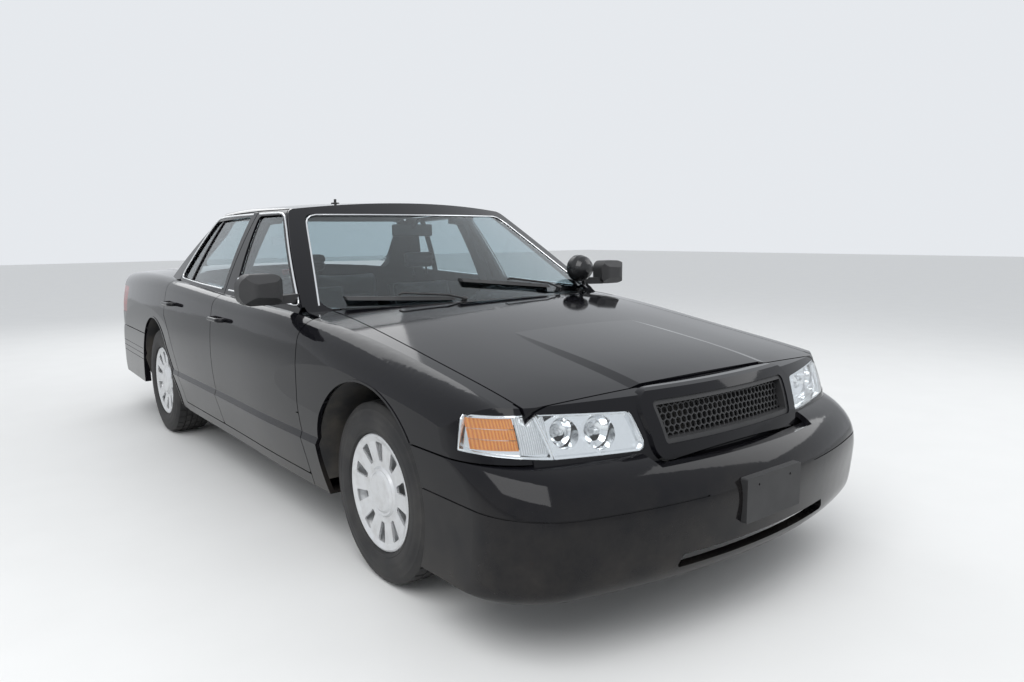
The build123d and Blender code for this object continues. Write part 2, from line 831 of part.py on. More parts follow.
def lid_hinges():
    return [Pos(x, lid_hinge_y, lid_hinge_z) * Rot(0, -90, 0) for x in (lid_hinge_x, -lid_hinge_x)]


def trunk_lid():
    panel = body_wall(0, lid_thickness, lid_space(-panel_gap / 2))
    panel -= body_wall(-1, 16, block(-170, 170, 2560, 2800, 735, 895))
    for place in lid_hinges():
        panel -= place * hinge_pocket(60, 14)
        panel += place * hinge_lug(14)
    return panel


def tail_panel():
    """Body panel below the trunk lid, between the tail lamps."""
    space = block(-500, 500, 2300, 2800, rear_bumper_top_z - 60, lid_shoulder_z + 40)
    space -= lid_space(panel_gap / 2)
    for shape in both(tail_lamp_space(fit_gap)):
        space -= shape
    panel = body_wall(0, skin, space)
    return largest(panel - plan_block(rear_bumper_ends, -fit_gap))


fuel_y, fuel_z, fuel_size, fuel_corner = 1740.0, 830.0, 150.0, 24.0
fuel_thickness = 8.0
fuel_gap = 5.0


def fuel_space(grow, x0, x1):
    half = fuel_size / 2 + grow
    return slab("x", x0, x1, [
        (fuel_y - half, fuel_z - half, fuel_corner), (fuel_y - half, fuel_z + half, fuel_corner),
        (fuel_y + half, fuel_z + half, fuel_corner), (fuel_y + half, fuel_z - half, fuel_corner),
    ])


fuel_hinge = Pos(957, fuel_y - fuel_size / 2 + 14, fuel_z)
fuel_floor_x = 895.0
fuel_sweep_radius = 18.5


def fuel_door():
    panel = body_wall(0, fuel_thickness, fuel_space(-fuel_gap, 880, far))
    panel -= fuel_hinge * hinge_pocket(30, 12)
    return panel + fuel_hinge * hinge_lug(12)


def fuel_sweep():
    """Room that the fuel door's front edge needs behind the skin as it turns."""
    half = fuel_size / 2 + fuel_gap
    return fuel_hinge * rod((0, 0, -half), (0, 0, half), fuel_sweep_radius)


def fuel_cup():
    """Pocket behind the fuel door with the filler cap and the door's hinge bracket."""
    cup = fuel_space(6, fuel_floor_x - 5, 950) - fuel_space(0, fuel_floor_x, 990) - fuel_sweep()
    cap = tube_x(fuel_floor_x - 1, fuel_floor_x + 22, fuel_y + 12, fuel_z - 4, 36)
    cap += block(fuel_floor_x + 20, fuel_floor_x + 34, fuel_y + 8, fuel_y + 16, fuel_z - 34, fuel_z + 26)
    return cup + cap + fuel_hinge * hinge_bracket(957 - fuel_floor_x + 2)


roof_split_z = 1415.0
pillar_top_x = 575.0
rear_screen_half, rear_screen_foot_z = 700.0, 1100.0
shelf_z, shelf_front_y = 1010.0, 1096.0
deck_half = 640.0 - fit_gap


def quarter_panel():
    low_edge = rear_bumper_top_z + panel_gap
    space = slab("x", 500, far, [
        (600, sill_bottom_z + 4), (600, 1400), (2700, 1400), (2700, low_edge), (rear_axle_y, low_edge),
        (rear_axle_y, sill_bottom_z + 4),
    ])
    space -= door_space("rear", panel_gap)
    space -= block(400, far, -100, rear_door_y, 0, 700) - tube_x(300, far, rear_axle_y, arch_z, rear_door_arc)
    space -= lid_space(panel_gap / 2)
    space -= block(0, deck_half + fit_gap, 1200, lid_front_y, 900, 1200)
    space -= tail_lamp_space(fit_gap)
    panel = body_wall(0, skin, space) - cabin(pillar_thickness) + arch_lip(rear_axle_y, space)
    line = offset_line(*c_line, frame_gap)
    pillar = slab("x", pillar_top_x, far, [
        (on_line(*line, 960), 960), (1700, 960), (1700, roof_split_z), (on_line(*line, roof_split_z), roof_split_z)])
    pillar = cabin_wall(0, pillar_thickness, pillar) - rear_screen_space(fit_gap)
    pillar -= block(0, rear_screen_half, 1100, 1700, 900, rear_screen_foot_z)
    whole = panel + pillar
    whole -= arch_cut(rear_axle_y)
    return largest(whole)


def screen_space(grow):
    """Windscreen opening, on the front view."""
    foot = screen_foot_z
    points = [(-screen_foot_half, foot, 40), (-screen_top_half, 1402, 50), (screen_top_half, 1402, 50),
              (screen_foot_half, foot, 40)]
    opening = slab("y", -1500, 0, grown_outline(points, grow))
    return opening & (front_screen(-10) - front_screen(pillar_thickness + 20))


def rear_screen_space(grow):
    half, foot = rear_screen_half, rear_screen_foot_z
    points = [(-half, foot, 40), (-575, 1398, 60), (575, 1398, 60), (half, foot, 40)]
    opening = slab("y", 600, 1600, grown_outline(points, grow))
    return opening & (rear_screen(-10) - rear_screen(pillar_thickness + 20))


def windscreen():
    return screen_space(0) & (front_screen(screen_recess) - front_screen(screen_recess + glass_thickness))


def rear_window():
    return rear_screen_space(0) & (rear_screen(screen_recess) - rear_screen(screen_recess + glass_thickness))


def a_pillar():
    a = offset_line(*a_line, panel_gap)
    space = slab("x", pillar_top_x, far, [
        (-1300, 960), (on_line(*a, 960), 960), (on_line(*a, door_top_z + panel_gap), door_top_z + panel_gap),
        (-200, door_top_z + panel_gap), (-200, 1600), (-1300, 1600)])
    space &= block(0, far, -1300, -240, 960, roof_split_z)
    space -= hood_space(panel_gap, rear_grow=hood_gap_rear)
    pillar = cabin_wall(0, pillar_thickness, space) - screen_space(fit_gap)
    foot_x0, foot_x1 = hood_half_rear - 40, door_inner_x - panel_gap
    pillar -= block(0, foot_x0, -1300, -880, 900, screen_foot_z + 3)
    pillar -= block(foot_x1, far, -1300, -880, 900, belt_z - 14)
    foot = block(foot_x0, foot_x1, fender_rear_y, pillar_foot_y - panel_gap, 900, 1200)
    foot -= hood_space(panel_gap, rear_grow=hood_gap_rear)
    foot = body_wall(0, skin, foot) - cabin(4) - screen_space(fit_gap)
    shell = pillar + foot - hood_sweep()
    low = door_bottom_z - panel_gap / 2
    post = block(sill_inner_x + 10, post_outer_x, fender_rear_y + 6, firewall_y - 1, low, 948)
    for place in door_hinges("front"):
        post += place * hinge_bracket(door_hinge_x - post_outer_x + 1)
    pin = tube_x(hood_half_rear - 34, hood_half_rear + 34, hood_pin_y, hood_pin_z, hood_pin_radius)
    return largest(shell + post + pin)


def roof():
    space = block(-far, far, -600, 1200, roof_split_z, 1600)
    space += block(-pillar_top_x, pillar_top_x, -600, 1200, 1380, 1600)
    for name in ("front", "rear"):
        for shape in both(door_space(name, panel_gap, frame_inner_x - 8)):
            space -= shape
    shell = cabin_wall(0, roof_thickness, space)
    return largest(shell - screen_space(fit_gap) - rear_screen_space(fit_gap))


pillar_foot_half = 60.0
post_outer_x = door_inner_x - 8


def b_pillar():
    foot, head = door_split_y, door_split_top_y
    lean = [(foot - 55, 900), (head - 35, 1500), (head + 35, 1500), (foot + 55, 900)]
    deep = pillar_thickness + 7
    upper = cabin_wall(deep, deep + 38, slab("x", pillar_top_x - 5, far, lean))
    under_roof = slab("x", pillar_top_x - 5, frame_inner_x - 10, lean)
    joint = cabin_wall(roof_thickness + fit_gap, deep + 38, under_roof)
    half = pillar_foot_half
    lower = block(sill_inner_x + 10, post_outer_x, door_split_y - half, door_split_y + half,
                  door_bottom_z - panel_gap / 2, belt_z - 42)
    for place in door_hinges("rear"):
        lower += place * hinge_bracket(door_hinge_x - post_outer_x + 1)
    return largest(lower + upper + joint)


def sill():
    top = door_bottom_z - panel_gap / 2
    outer = body(0) & block(sill_inner_x, far, fender_rear_y + 3, 900, sill_bottom_z, top)
    inner = block(sill_inner_x, door_inner_x - 8, fender_rear_y + 3, 760, sill_bottom_z + 1, top + 90)
    for low, high in (
        (fender_rear_y, firewall_y + panel_gap),
        (door_split_y - pillar_foot_half - 1, door_split_y + pillar_foot_half + 1),
    ):
        inner -= block(sill_inner_x, far, low, high, top, 500)
    return largest((outer + inner) - arch_cut(rear_axle_y, rear_door_arc + fit_gap))


def cowl():
    side = hood_half_rear - 2
    space = arc_slab([
        (side, hood_rear_side_y + hood_gap_rear),
        (0, hood_rear_centre_y + hood_gap_rear, -side, hood_rear_side_y + hood_gap_rear),
        (-side, -960), (side, -960),
    ], 800, 1200)
    for shape in both(block(hood_half_rear - 54, far, fender_rear_y - 1, -800, 800, 1200)):
        space -= shape
    panel = body_wall(6, 26, space)
    panel -= front_screen(screen_recess - fit_gap) & block(-900, 900, -1300, -700, 974, 1300)
    return largest(panel)


def rear_deck():
    """Body strip below the rear window with the parcel shelf inside."""
    strip = body_wall(0, 20, block(-deck_half, deck_half, 1200, lid_front_y - panel_gap, 900, 1300))
    strip -= rear_screen(screen_recess - fit_gap)
    wall = block(-deck_half, deck_half, 1402, 1412, shelf_z, 1062)
    half = rear_screen_half - panel_gap
    shelf = block(-half, half, shelf_front_y, 1412, shelf_z, shelf_z + 12)
    whole = strip + wall + shelf
    for place in lid_hinges():
        x = place.position.X
        for side in (1, -1):
            x0, x1 = sorted((x + side * hinge_arm_near, x + side * hinge_arm_far))
            whole += block(x0, x1, 1411, lid_hinge_y + hinge_eye, lid_hinge_z - 48, lid_hinge_z - 38)
        whole += place * hinge_bracket(45)
    return largest(whole)


# Small hinges. In a hinge's own frame the pin is along Z, the leaf's outer face is towards +X and its panel +Y.
hinge_pin, hinge_eye, hinge_skin = 2.0, 3.2, 4.2
hinge_lug_half, hinge_arm_near, hinge_arm_far, hinge_pocket_half = 5.7, 6.0, 10.0, 15.0


def hinge_bracket(reach):
    """Two arms and the pin between them. The arms reach inwards to what carries them."""
    shape = rod((0, 0, -hinge_arm_far), (0, 0, hinge_arm_far), hinge_pin)
    for side in (1, -1):
        z0, z1 = sorted((side * hinge_arm_near, side * hinge_arm_far))
        shape += block(-reach, 0, -hinge_eye, hinge_eye + 2, z0, z1) + rod((0, 0, z0), (0, 0, z1), hinge_eye)
    return shape


def hinge_pocket(deep, back):
    return block(-deep, hinge_skin, -back, back, -hinge_pocket_half, hinge_pocket_half)


def hinge_lug(back):
    """Eye on the moving panel, turning on the pin."""
    shape = block(-hinge_eye - 2, hinge_skin + 0.5, -hinge_eye, back + 2, -hinge_lug_half, hinge_lug_half)
    return shape - rod((0, 0, -20), (0, 0, 20), hinge_pin + fit_gap)


# Doors
door_hinge_x = 980.0
front_hinge_y, rear_hinge_y = fender_rear_y + 15, door_split_y + 15
door_hinge_levels = (575.0, 725.0)


def door_hinges(name):
    y = front_hinge_y if name == "front" else rear_hinge_y
    return [Pos(door_hinge_x, y, z) for z in door_hinge_levels]


handle_x, handle_reach, handle_radius, handle_bend = 940.0, 1016.0, 11.0, 24.0

# name, rear end of the handle, its height
handles = {"front": (-20, 876), "rear": (890, 896)}


def handle_cup(name):
    """Hollow behind the handle for the fingers."""
    rear, z = handles[name]
    x = handle_reach + 34
    return rod((x, rear - 82, z - 34), (x, rear - 82, z + 34), 66)


def handle(name):
    rear, z = handles[name]
    front = rear - 165
    corners = [(handle_x, rear), (handle_reach, rear), (handle_reach, front), (handle_x, front)]
    return bent_bar([(*corner, z) for corner in corners],
                    handle_radius, handle_bend)


def door(name):
    outer = door_space(name, 0)
    inner = door_space(name, -door_step)
    lower = body_wall(0, door_flange, outer & block(door_inner_x + 30, far, -1200, 1200, 0, 1200))
    core = body(door_flange - 1) & inner & block(door_inner_x, far, -1200, 1200, 0, 1200)
    upper = block(frame_inner_x, far, pillar_foot_y, 1200, belt_z - 40, 1500)
    frame = cabin_wall(0, door_flange, outer & upper)
    frame += cabin_wall(door_flange - 1, pillar_thickness, inner & upper)
    shape = (lower + core + frame) - handle_cup(name) + handle(name)
    front = (fender_rear_y if name == "front" else door_split_y) + panel_gap / 2
    for place in door_hinges(name):
        back = front + door_step - place.position.Y
        shape -= place * hinge_pocket(40, back)
        shape += place * hinge_lug(back)
    shape -= window_space(name, 0)
    if name == "rear":
        shape += cabin_wall(3, pillar_thickness - 10, divider_space(0) & window_space(name, 1))
    return largest(shape)


sail_rear_y = -772.0


divider_line = ((745.0, 1000.0), (600.0, 1420.0))
divider_half = 9.0


def divider_space(grow):
    """Upright bar in the rear window, which parts off its small rear pane."""
    half = divider_half + grow
    return slab("x", 300, far, [*offset_line(*divider_line, half), *offset_line(*divider_line, -half)[::-1]])


def door_glass(name):
    space = window_space(name, -fit_gap)
    if name == "rear":
        space -= divider_space(fit_gap)
        return cabin_wall(glass_recess, glass_recess + glass_thickness, space).solids()
    if name == "front":
        space -= block(0, far, -1200, sail_rear_y + fit_gap, 900, 1500)
    return largest(cabin_wall(glass_recess, glass_recess + glass_thickness, space))


sail_recess = 3.0


def mirror():
    """Left door mirror: its housing, its arm and the sail that fills the window's front corner."""
    shell = slab("y", -950, -838, [(960, 1003, 34), (952, 1136, 46), (1138, 1136, 56), (1140, 1003, 50)])
    shell &= slab("z", 900, 1200, [
        (950, -838), (950, -906, 30), (985, -938, 40), (1090, -944, 60), (1140, -900, 30), (1140, -838)])
    shell &= slab("x", 900, 1200, [(-838, 1000), (-838, 1140), (-905, 1140, 50), (-950, 1090, 60), (-950, 1045, 50),
                                   (-900, 1000, 30)])
    shell -= slab("y", -852, -830, [(970, 1012, 26), (962, 1127, 38), (1129, 1127, 48), (1131, 1012, 42)])
    foot = slab("z", 1003, 1040, [(852, -842, 6), (852, -786, 6), (980, -848, 6), (980, -904, 6)])
    foot -= cabin(-fit_gap) - window_space("front", -fit_gap)
    foot -= cabin(sail_recess + 4)
    foot -= body(-fit_gap)
    window = window_space("front", -fit_gap) & block(0, far, -1200, sail_rear_y, 900, 1500)
    sail = cabin_wall(sail_recess, sail_recess + 12, window)
    return largest(shell + foot + sail)


# Wheels
slots = 10
slot_inner, slot_outer, slot_inner_half, slot_outer_half = 117.0, 192.0, 11.0, 27.0
cap_radius = 84.0
hub_bore = 26.0
spindle_radius = 25.5


def turned(points):
    """Ring or disc turned about the X axis. The points are (x, radius), or (x, radius, corner radius)."""
    return Solid.revolve(Face(outline("z", 0, points)), 360, Axis.X)


@lru_cache(None)
def tyre():
    half = tyre_width / 2
    r = tyre_radius
    return turned([
        (-half + 22, rim_radius, 4), (-half, rim_radius + 46, 26), (-half + 3, r - 36, 20), (-half + 20, r, 22),
        (half - 20, r, 22), (half - 3, r - 36, 20), (half, rim_radius + 46, 26), (half - 22, rim_radius, 4),
    ])


@lru_cache(None)
def wheel():
    """Steel wheel with its cover, hub and brake disc. The outer face is towards +X."""
    half = rim_width / 2
    r = rim_radius - fit_gap
    shape = turned([
        (-half, r - 14), (-half, r), (half, r), (half, r - 10), (half - 12, r - 14), (half - 40, r - 26),
        (-half + 10, r - 26), (-half + 10, r - 14),
    ])
    shape += turned([
        (30, hub_bore), (30, 120), (44, 160), (44, r - 20), (54, r - 20), (54, 160), (40, 110), (40, hub_bore),
    ])
    face = half + 2
    cover = turned([
        (face - 12, 0), (face - 1, 0), (face - 1, cap_radius - 14, 6), (face - 8, cap_radius - 4),
        (face - 6, cap_radius + 4), (face - 14, cap_radius + 12), (face - 4, slot_outer), (face + 4, r - 8, 3),
        (face + 1, r - 1), (face - 5, r - 1),
        (face - 12, slot_outer), (face - 24, cap_radius + 10),
    ])
    inner, outer = slot_inner_half, slot_outer_half
    opening = slab("x", half - 60, half + 20, [
        (-inner, slot_inner, 5), (-outer, slot_outer, 8), (outer, slot_outer, 8), (inner, slot_inner, 5)])
    for i in range(slots):
        cover -= opening.rotate(Axis.X, 360 / slots * i)
    hub = turned([(-18, hub_bore), (-18, 62), (31, 62), (31, hub_bore)])
    brake = turned([(-14, 60), (-14, 150), (8, 150), (8, 60)])
    return shape + cover + hub + brake


def at_wheel(shape, axle_y, track):
    return Pos(track / 2, axle_y, tyre_radius) * shape


# Running gear
kingpin_x = 765.0
ball_rise = 140.0
pin_radius = 9.0


def knuckle():
    """Left front knuckle with its stub axle."""
    y, z = front_axle_y, tyre_radius
    shape = block(kingpin_x - 30, kingpin_x - 14, y - 34, y + 34, z - ball_rise + 14, z + ball_rise - 14)
    shape += block(kingpin_x - 16, kingpin_x + 4, y - 30, y + 30, z - 60, z + 60)
    shape += tube_x(kingpin_x - 10, front_track / 2 + 28, y, z, spindle_radius)
    for side in (1, -1):
        z0, z1 = sorted((z + side * (ball_rise - 14), z + side * (ball_rise - 34)))
        shape += block(kingpin_x - 16, kingpin_x + 14, y - 22, y + 22, z0, z1)
        shape -= rod((kingpin_x, y, z0 - 1), (kingpin_x, y, z1 + 1), pin_radius + fit_gap)
    return shape


def front_suspension():
    y, z = front_axle_y, tyre_radius
    rail_under = rail_front_z - rail_height / 2
    shape = block(-rail_inner_x - rail_width, rail_inner_x + rail_width, y - 90, y + 90, 175, rail_under)
    for side in (1, -1):
        end = side * (kingpin_x + 14)
        low, high, tower = side * (rail_inner_x + 20), side * (rail_inner_x + 60), side * (rail_inner_x + 40)
        shape += slab("z", z - ball_rise - 14, z - ball_rise + 8, [
            (end, y - 24), (end, y + 24), (low, y + 120), (low, y - 120)])
        shape += slab("z", z + ball_rise - 8, z + ball_rise + 10, [
            (end, y - 20), (end, y + 20), (high, y + 90), (high, y - 90)])
        x = sorted((tower - 27, tower + 27))
        shape += block(*x, y - 90, y + 90, rail_front_z + rail_height / 2, 620)
        for way in (1, -1):
            pin = sorted((z + way * ball_rise, z + way * (ball_rise - 32)))
            shape += rod((side * kingpin_x, y, pin[0]), (side * kingpin_x, y, pin[1]), pin_radius)
    return shape


axle_tube_radius = 40.0
driveshaft_radius = 42.0
driveshaft_z = 355.0


def rear_axle():
    y, z = rear_axle_y, tyre_radius
    half = rear_track / 2
    shape = tube_x(-half + 70, half - 70, y, z, axle_tube_radius)
    shape += tube_x(-half - 28, half + 28, y, z, spindle_radius)
    shape += tube_x(-130, 130, y, z, 120)
    shape += rod((0, y - 230, z), (0, y + 130, z), 75)
    shape += rod((0, gearbox_rear_y + 2 * fit_gap, driveshaft_z), (0, y - 225, z), driveshaft_radius)
    # Coil springs' seats and links that carry the rails
    for side in (1, -1):
        x = side * (rail_inner_x + rail_width / 2)
        shape += rod((x, y, z + 30), (x, y, rail_rear_z - rail_height / 2), 45)
    return largest(shape)


# Frame, floor and power plant
rail_front_z, rail_rear_z = 320.0, 460.0

# y, z of the rail's centre line
rail_line = [
    (-2500, 380), (-2080, 350), (-1960, rail_front_z), (-1280, rail_front_z), (-1080, rail_low_z), (900, rail_low_z),
    (1060, rail_rear_z), (1560, rail_rear_z), (1800, 400), (2520, 400),
]

# y, width, lower and upper height
crossmembers = [
    (-2440, 60, 350, 410), (-700, 90, 222, 278), (700, 80, 222, 278), (1640, 60, 420, 465), (2480, 60, 370, 430),
]


def chassis_frame():
    half = rail_height / 2
    points = [(y, z - half) for y, z in rail_line] + [(y, z + half) for y, z in reversed(rail_line)]
    rail = slab("x", rail_inner_x, rail_inner_x + rail_width, points)
    shape = rail + right_of(rail)
    for y, width, low, high in crossmembers:
        shape += block(-rail_inner_x - 1, rail_inner_x + 1, y - width / 2, y + width / 2, low, high)
    for y in (-940, 640):
        for side in (1, -1):
            x = sorted((side * (rail_inner_x + rail_width - 1), side * sill_inner_x))
            shape += block(*x, y - 35, y + 35, 215, floor_z)
    return largest(shape)


tunnel_half, tunnel_front_z, tunnel_rear_z = 160.0, 500.0, 440.0
rear_floor_z, rear_floor_y, rear_floor_half = 520.0, 900.0, 560.0
boot_y, boot_rear_y = 1720.0, 2440.0


def floor_pan():
    t = floor_thickness
    half = sill_inner_x
    pan = block(-half, half, firewall_y, rear_floor_y, floor_z, floor_z + t)
    outer = [(firewall_y, floor_z), (firewall_y, tunnel_front_z), (-400, tunnel_rear_z), (rear_floor_y, tunnel_rear_z),
             (rear_floor_y, floor_z)]
    inner = [(firewall_y - 1, 0), (firewall_y - 1, tunnel_front_z - t), (-400, tunnel_rear_z - t),
             (rear_floor_y + 9, tunnel_rear_z - t), (rear_floor_y + 9, 0)]
    wide = rear_floor_half
    pan += slab("x", -tunnel_half, tunnel_half, outer)
    pan += block(-wide, wide, rear_floor_y - t, rear_floor_y, floor_z, rear_floor_z)
    pan += block(-wide, wide, rear_floor_y - t, boot_y, rear_floor_z - t, rear_floor_z)
    pan += block(-wide, wide, boot_y - t, boot_rear_y, boot_floor_z, boot_floor_z + t)
    pan += block(-wide, wide, boot_y - t, boot_y, boot_floor_z, rear_floor_z)
    return pan - slab("x", -tunnel_half + t, tunnel_half - t, inner)


def wheel_house(y, x0):
    """Half-round inner arch with its inner wall."""
    x1, t = 960, liner_thickness
    ring = tube_x(x0, x1, y, arch_z, arch_radius + t) - tube_x(x0 + t, x1 + 1, y, arch_z, arch_radius)
    return (ring & block(x0, x1, y - 500, y + 500, 300, 1000)) & body(skin + fit_gap)


bay_front_y, bay_top_z = head_lamp_rear_y + panel_gap, 740.0


def engine_bay():
    t = liner_thickness
    half = sill_inner_x - panel_gap
    shape = block(-half, half, firewall_y - t, firewall_y, floor_z, 1100) & body(lid_thickness + lid_clearance)
    shape -= block(-tunnel_half, tunnel_half, firewall_y - 20, firewall_y + 20, 0, tunnel_front_z)
    house = wheel_house(front_axle_y, arch_wall_x)
    for side in (1, -1):
        x = sorted((side * arch_wall_x, side * (arch_wall_x + t)))
        shape += block(*x, bay_front_y, firewall_y, 420, bay_top_z)
        shape += house if side > 0 else right_of(house)
    shape += block(-arch_wall_x - t, arch_wall_x + t, bay_front_y, bay_front_y + t, 430, bay_top_z)
    shape -= block(-arch_wall_x - t, arch_wall_x + t, front_axle_y - 120, front_axle_y + 120, 0, 520)
    return shape


def rear_wheel_houses():
    house = wheel_house(rear_axle_y, rear_floor_half)
    house -= block(0, 700, rear_axle_y - 80, rear_axle_y + 80, 0, 430)
    return both(house)


gearbox_rear_y = -560.0


def powertrain():
    low = 300
    engine = block(-300, 300, -2200, -1180, 480, 756) + block(-180, 180, -2200, -1180, low, 481)
    for x in (-145, 145):
        mount_z = rail_front_z - rail_height / 2
        engine += block(x - 25, x + 25, front_axle_y - 40, front_axle_y + 40, mount_z, low + 1)
    gearbox = slab("y", -1181, gearbox_rear_y, [(-120, 278), (-120, 440, 40), (120, 440, 40), (120, 278)])
    return engine + gearbox


exhaust_z, exhaust_radius = 186.0, 24.0


def exhaust():
    z = exhaust_z
    shape = bent_bar([(150, -1180, 335), (150, -1120, 335), (250, -1030, z), (250, 900, z), (290, 1300, z + 30),
                      (290, 1790, 255)], exhaust_radius, 40)
    shape += slab("z", 190, 320, [(180, 1760, 40), (370, 1760, 40), (370, 2350, 40), (180, 2350, 40)])
    shape += rod((300, 2340, 255), (330, 2680, 240), exhaust_radius)
    shape += rod((250, -700, z), (250, -700, 222), 8)
    shape += rod((250, 700, z), (250, 700, 222), 8)
    shape += rod((275, 2050, 300), (275, 2050, boot_floor_z), 8)
    return largest(shape)


# Cabin fittings
seat_x = 375.0
seat_low_z = 460.0


def seat(x):
    base = block(x - 190, x + 190, -420, 40, floor_z + floor_thickness, seat_low_z + 1)
    low = seat_low_z
    cushion = slab("x", x - 255, x + 255, [(-540, low, 30), (-540, 575, 50), (-40, 540, 30), (60, low, 20)])
    back = slab("x", x - 250, x + 250, [(-60, 490, 40), (100, 1080, 40), (210, 1080, 40), (90, low, 40)])
    head = slab("x", x - 130, x + 130, [(110, 1060, 12), (128, 1210, 40), (215, 1210, 40), (205, 1060, 12)])
    return base + cushion + back + head


def rear_seat():
    half = 552
    cushion = slab("x", -half, half, [(380, 442, 30), (370, 560, 60), (891.7, 530, 20), (891.7, 442, 10)])
    back = slab("x", -half, half, [(830, 525, 40), (985, 1080, 50), (1090, 1080, 40), (950, 520.3, 10)])
    return cushion + back


def dashboard():
    return slab("x", -850, 850, [(firewall_y, 560), (firewall_y, 930, 20), (-760, 930, 60), (-700, 820, 40),
                                 (-720, 560, 40)])


wheel_centre = (seat_x, -560.0, 830.0)
wheel_tilt = 62.0


def steering_wheel():
    tilt = radians(wheel_tilt)
    x, y, z = wheel_centre
    plane = Plane(origin=wheel_centre, z_dir=(0, sin(tilt), cos(tilt)))
    shape = plane * Torus(185, 15)
    shape += extrude(plane * Circle(60), 24, both=True)
    shape += plane * Box(352, 34, 14)
    shape += rod(wheel_centre, (x, y - 230 * sin(tilt), z - 230 * cos(tilt)), 26)
    return largest(shape - dashboard())


# Wiper blades on the front view, as (x, z) of their ends
wiper_blades = [((-690, 1018), (-220, 1002)), ((-100, 1076), (430, 1024))]
blade_height = 16.0


def wiper(start, end):
    lower = offset_line(start, end, -blade_height / 2)
    upper = offset_line(start, end, blade_height / 2)
    space = slab("y", -1300, -700, [*lower, *upper[::-1]])
    return (space & front_screen(-10)) - front_screen(screen_recess - fit_gap)


plate_bracket_z = (358.0, 510.0)
plate_bracket_half = 154.0
plate_hole_x, plate_hole_z = 88.9, 480.0


def plate_space(grow):
    half = plate_bracket_half + grow
    z0, z1 = plate_bracket_z[0] - grow, plate_bracket_z[1] + grow
    return slab("y", nose_tip_y - bracket_reach - grow, nose_tip_y + 14, [
        (-half, z0, 6), (-half, z1, 6), (half, z1, 6), (half, z0, 6)])


def plate_bracket():
    shape = plate_space(-2 * fit_gap) & block(-200, 200, nose_tip_y - bracket_reach, nose_tip_y + 14, 300, 600)
    for x in (-plate_hole_x, plate_hole_x):
        shape -= rod((x, nose_tip_y - 30, plate_hole_z), (x, nose_tip_y + 4, plate_hole_z), 4.5)
    return largest(shape)


spot_centre = (772.0, -938.0, 1101.0)
spot_foot = (822.0, -905.0, 985.0)
spot_radius = 74.0


def spotlight():
    x, y, z = spot_centre
    head = Solid.revolve(Face(outline("z", z, [
        (x, y + 52), (x + spot_radius - 6, y + 52), (x + spot_radius, y + 40), (x + spot_radius, y + 10),
        (x + 66, y - 18), (x + 50, y - 40), (x + 24, y - 56), (x, y - 60)])), 360, Axis((x, y, z), (0, 1, 0)))
    stem = rod(spot_centre, spot_foot, 11)
    stem -= cabin(-fit_gap)
    stem -= body(-fit_gap)
    return largest(head + stem)


def save(name, shapes):
    if not isinstance(shapes, (list, tuple)):
        shapes = [shapes]
    solids = [solid for shape in shapes for solid in shape.solids()]
    export_step(solids[0] if len(solids) == 1 else Compound(children=solids), f"parts/{name}.step")


def front_lamps(index):
    """The lenses, index 0, or the housings, index 1, of all four front lamps."""
    return [shape for name in ("head", "corner") for shape in both(lamp_parts(name)[index])]


def quarter_panels():
    quarter = quarter_panel()
    left = largest((quarter - fuel_space(0, 860, far) - fuel_sweep()) + fuel_cup())
    return [left, right_of(quarter)]


# Each sub-part's name and what makes it
single_nodes = {
    "hood": hood,
    "front_fenders": lambda: both(front_fender()),
    "nose_panel": nose_panel,
    "grille": grille,
    "front_lamp_lenses": lambda: front_lamps(0),
    "front_lamp_housings": lambda: front_lamps(1),
    "front_bumper": front_bumper,
    "rear_bumper": rear_bumper,
    "tail_lamps": tail_lamps,
    "trunk_lid": trunk_lid,
    "tail_panel": tail_panel,
    "fuel_door": fuel_door,
    "quarter_panels": quarter_panels,
    "windscreen": windscreen,
    "rear_window": rear_window,
    "a_pillars": lambda: both(a_pillar()),
    "roof": roof,
    "b_pillars": lambda: both(b_pillar()),
    "sills": lambda: both(sill()),
    "cowl": cowl,
    "rear_deck": rear_deck,
    "front_suspension": front_suspension,
    "rear_axle": rear_axle,
    "chassis_frame": chassis_frame,
    "floor_pan": floor_pan,
    "engine_bay": engine_bay,
    "rear_wheel_houses": rear_wheel_houses,
    "powertrain": powertrain,
    "exhaust": exhaust,
    "front_seats": lambda: [seat(seat_x), seat(-seat_x)],
    "rear_seat": rear_seat,
    "dashboard": dashboard,
    "steering_wheel": steering_wheel,
    "wipers": lambda: [wiper(*ends) for ends in wiper_blades],
    "plate_bracket": plate_bracket,
    "spotlight": spotlight,
}

# Sub-parts made for the left side and mirrored for the right
paired_nodes = {
    "mirror": mirror,
    "front_door": lambda: door("front"),
    "rear_door": lambda: door("rear"),
    "front_glass": lambda: door_glass("front"),
    "rear_glass": lambda: door_glass("rear"),
    "knuckle": knuckle,
    "tyre_front": lambda: at_wheel(tyre(), front_axle_y, front_track),
    "tyre_rear": lambda: at_wheel(tyre(), rear_axle_y, rear_track),
    "wheel_front": lambda: at_wheel(wheel(), front_axle_y, front_track),
    "wheel_rear": lambda: at_wheel(wheel(), rear_axle_y, rear_track),
}


def build():
    os.makedirs("parts", exist_ok=True)
    for name, make in single_nodes.items():
        save(name, make())
    for name, make in paired_nodes.items():
        left = make()
        solids = left if isinstance(left, (list, tuple)) else [left]
        save(f"{name}_left", solids)
        save(f"{name}_right", [right_of(solid) for solid in solids])


if __name__ == "__main__":
    build()
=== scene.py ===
import json
import math

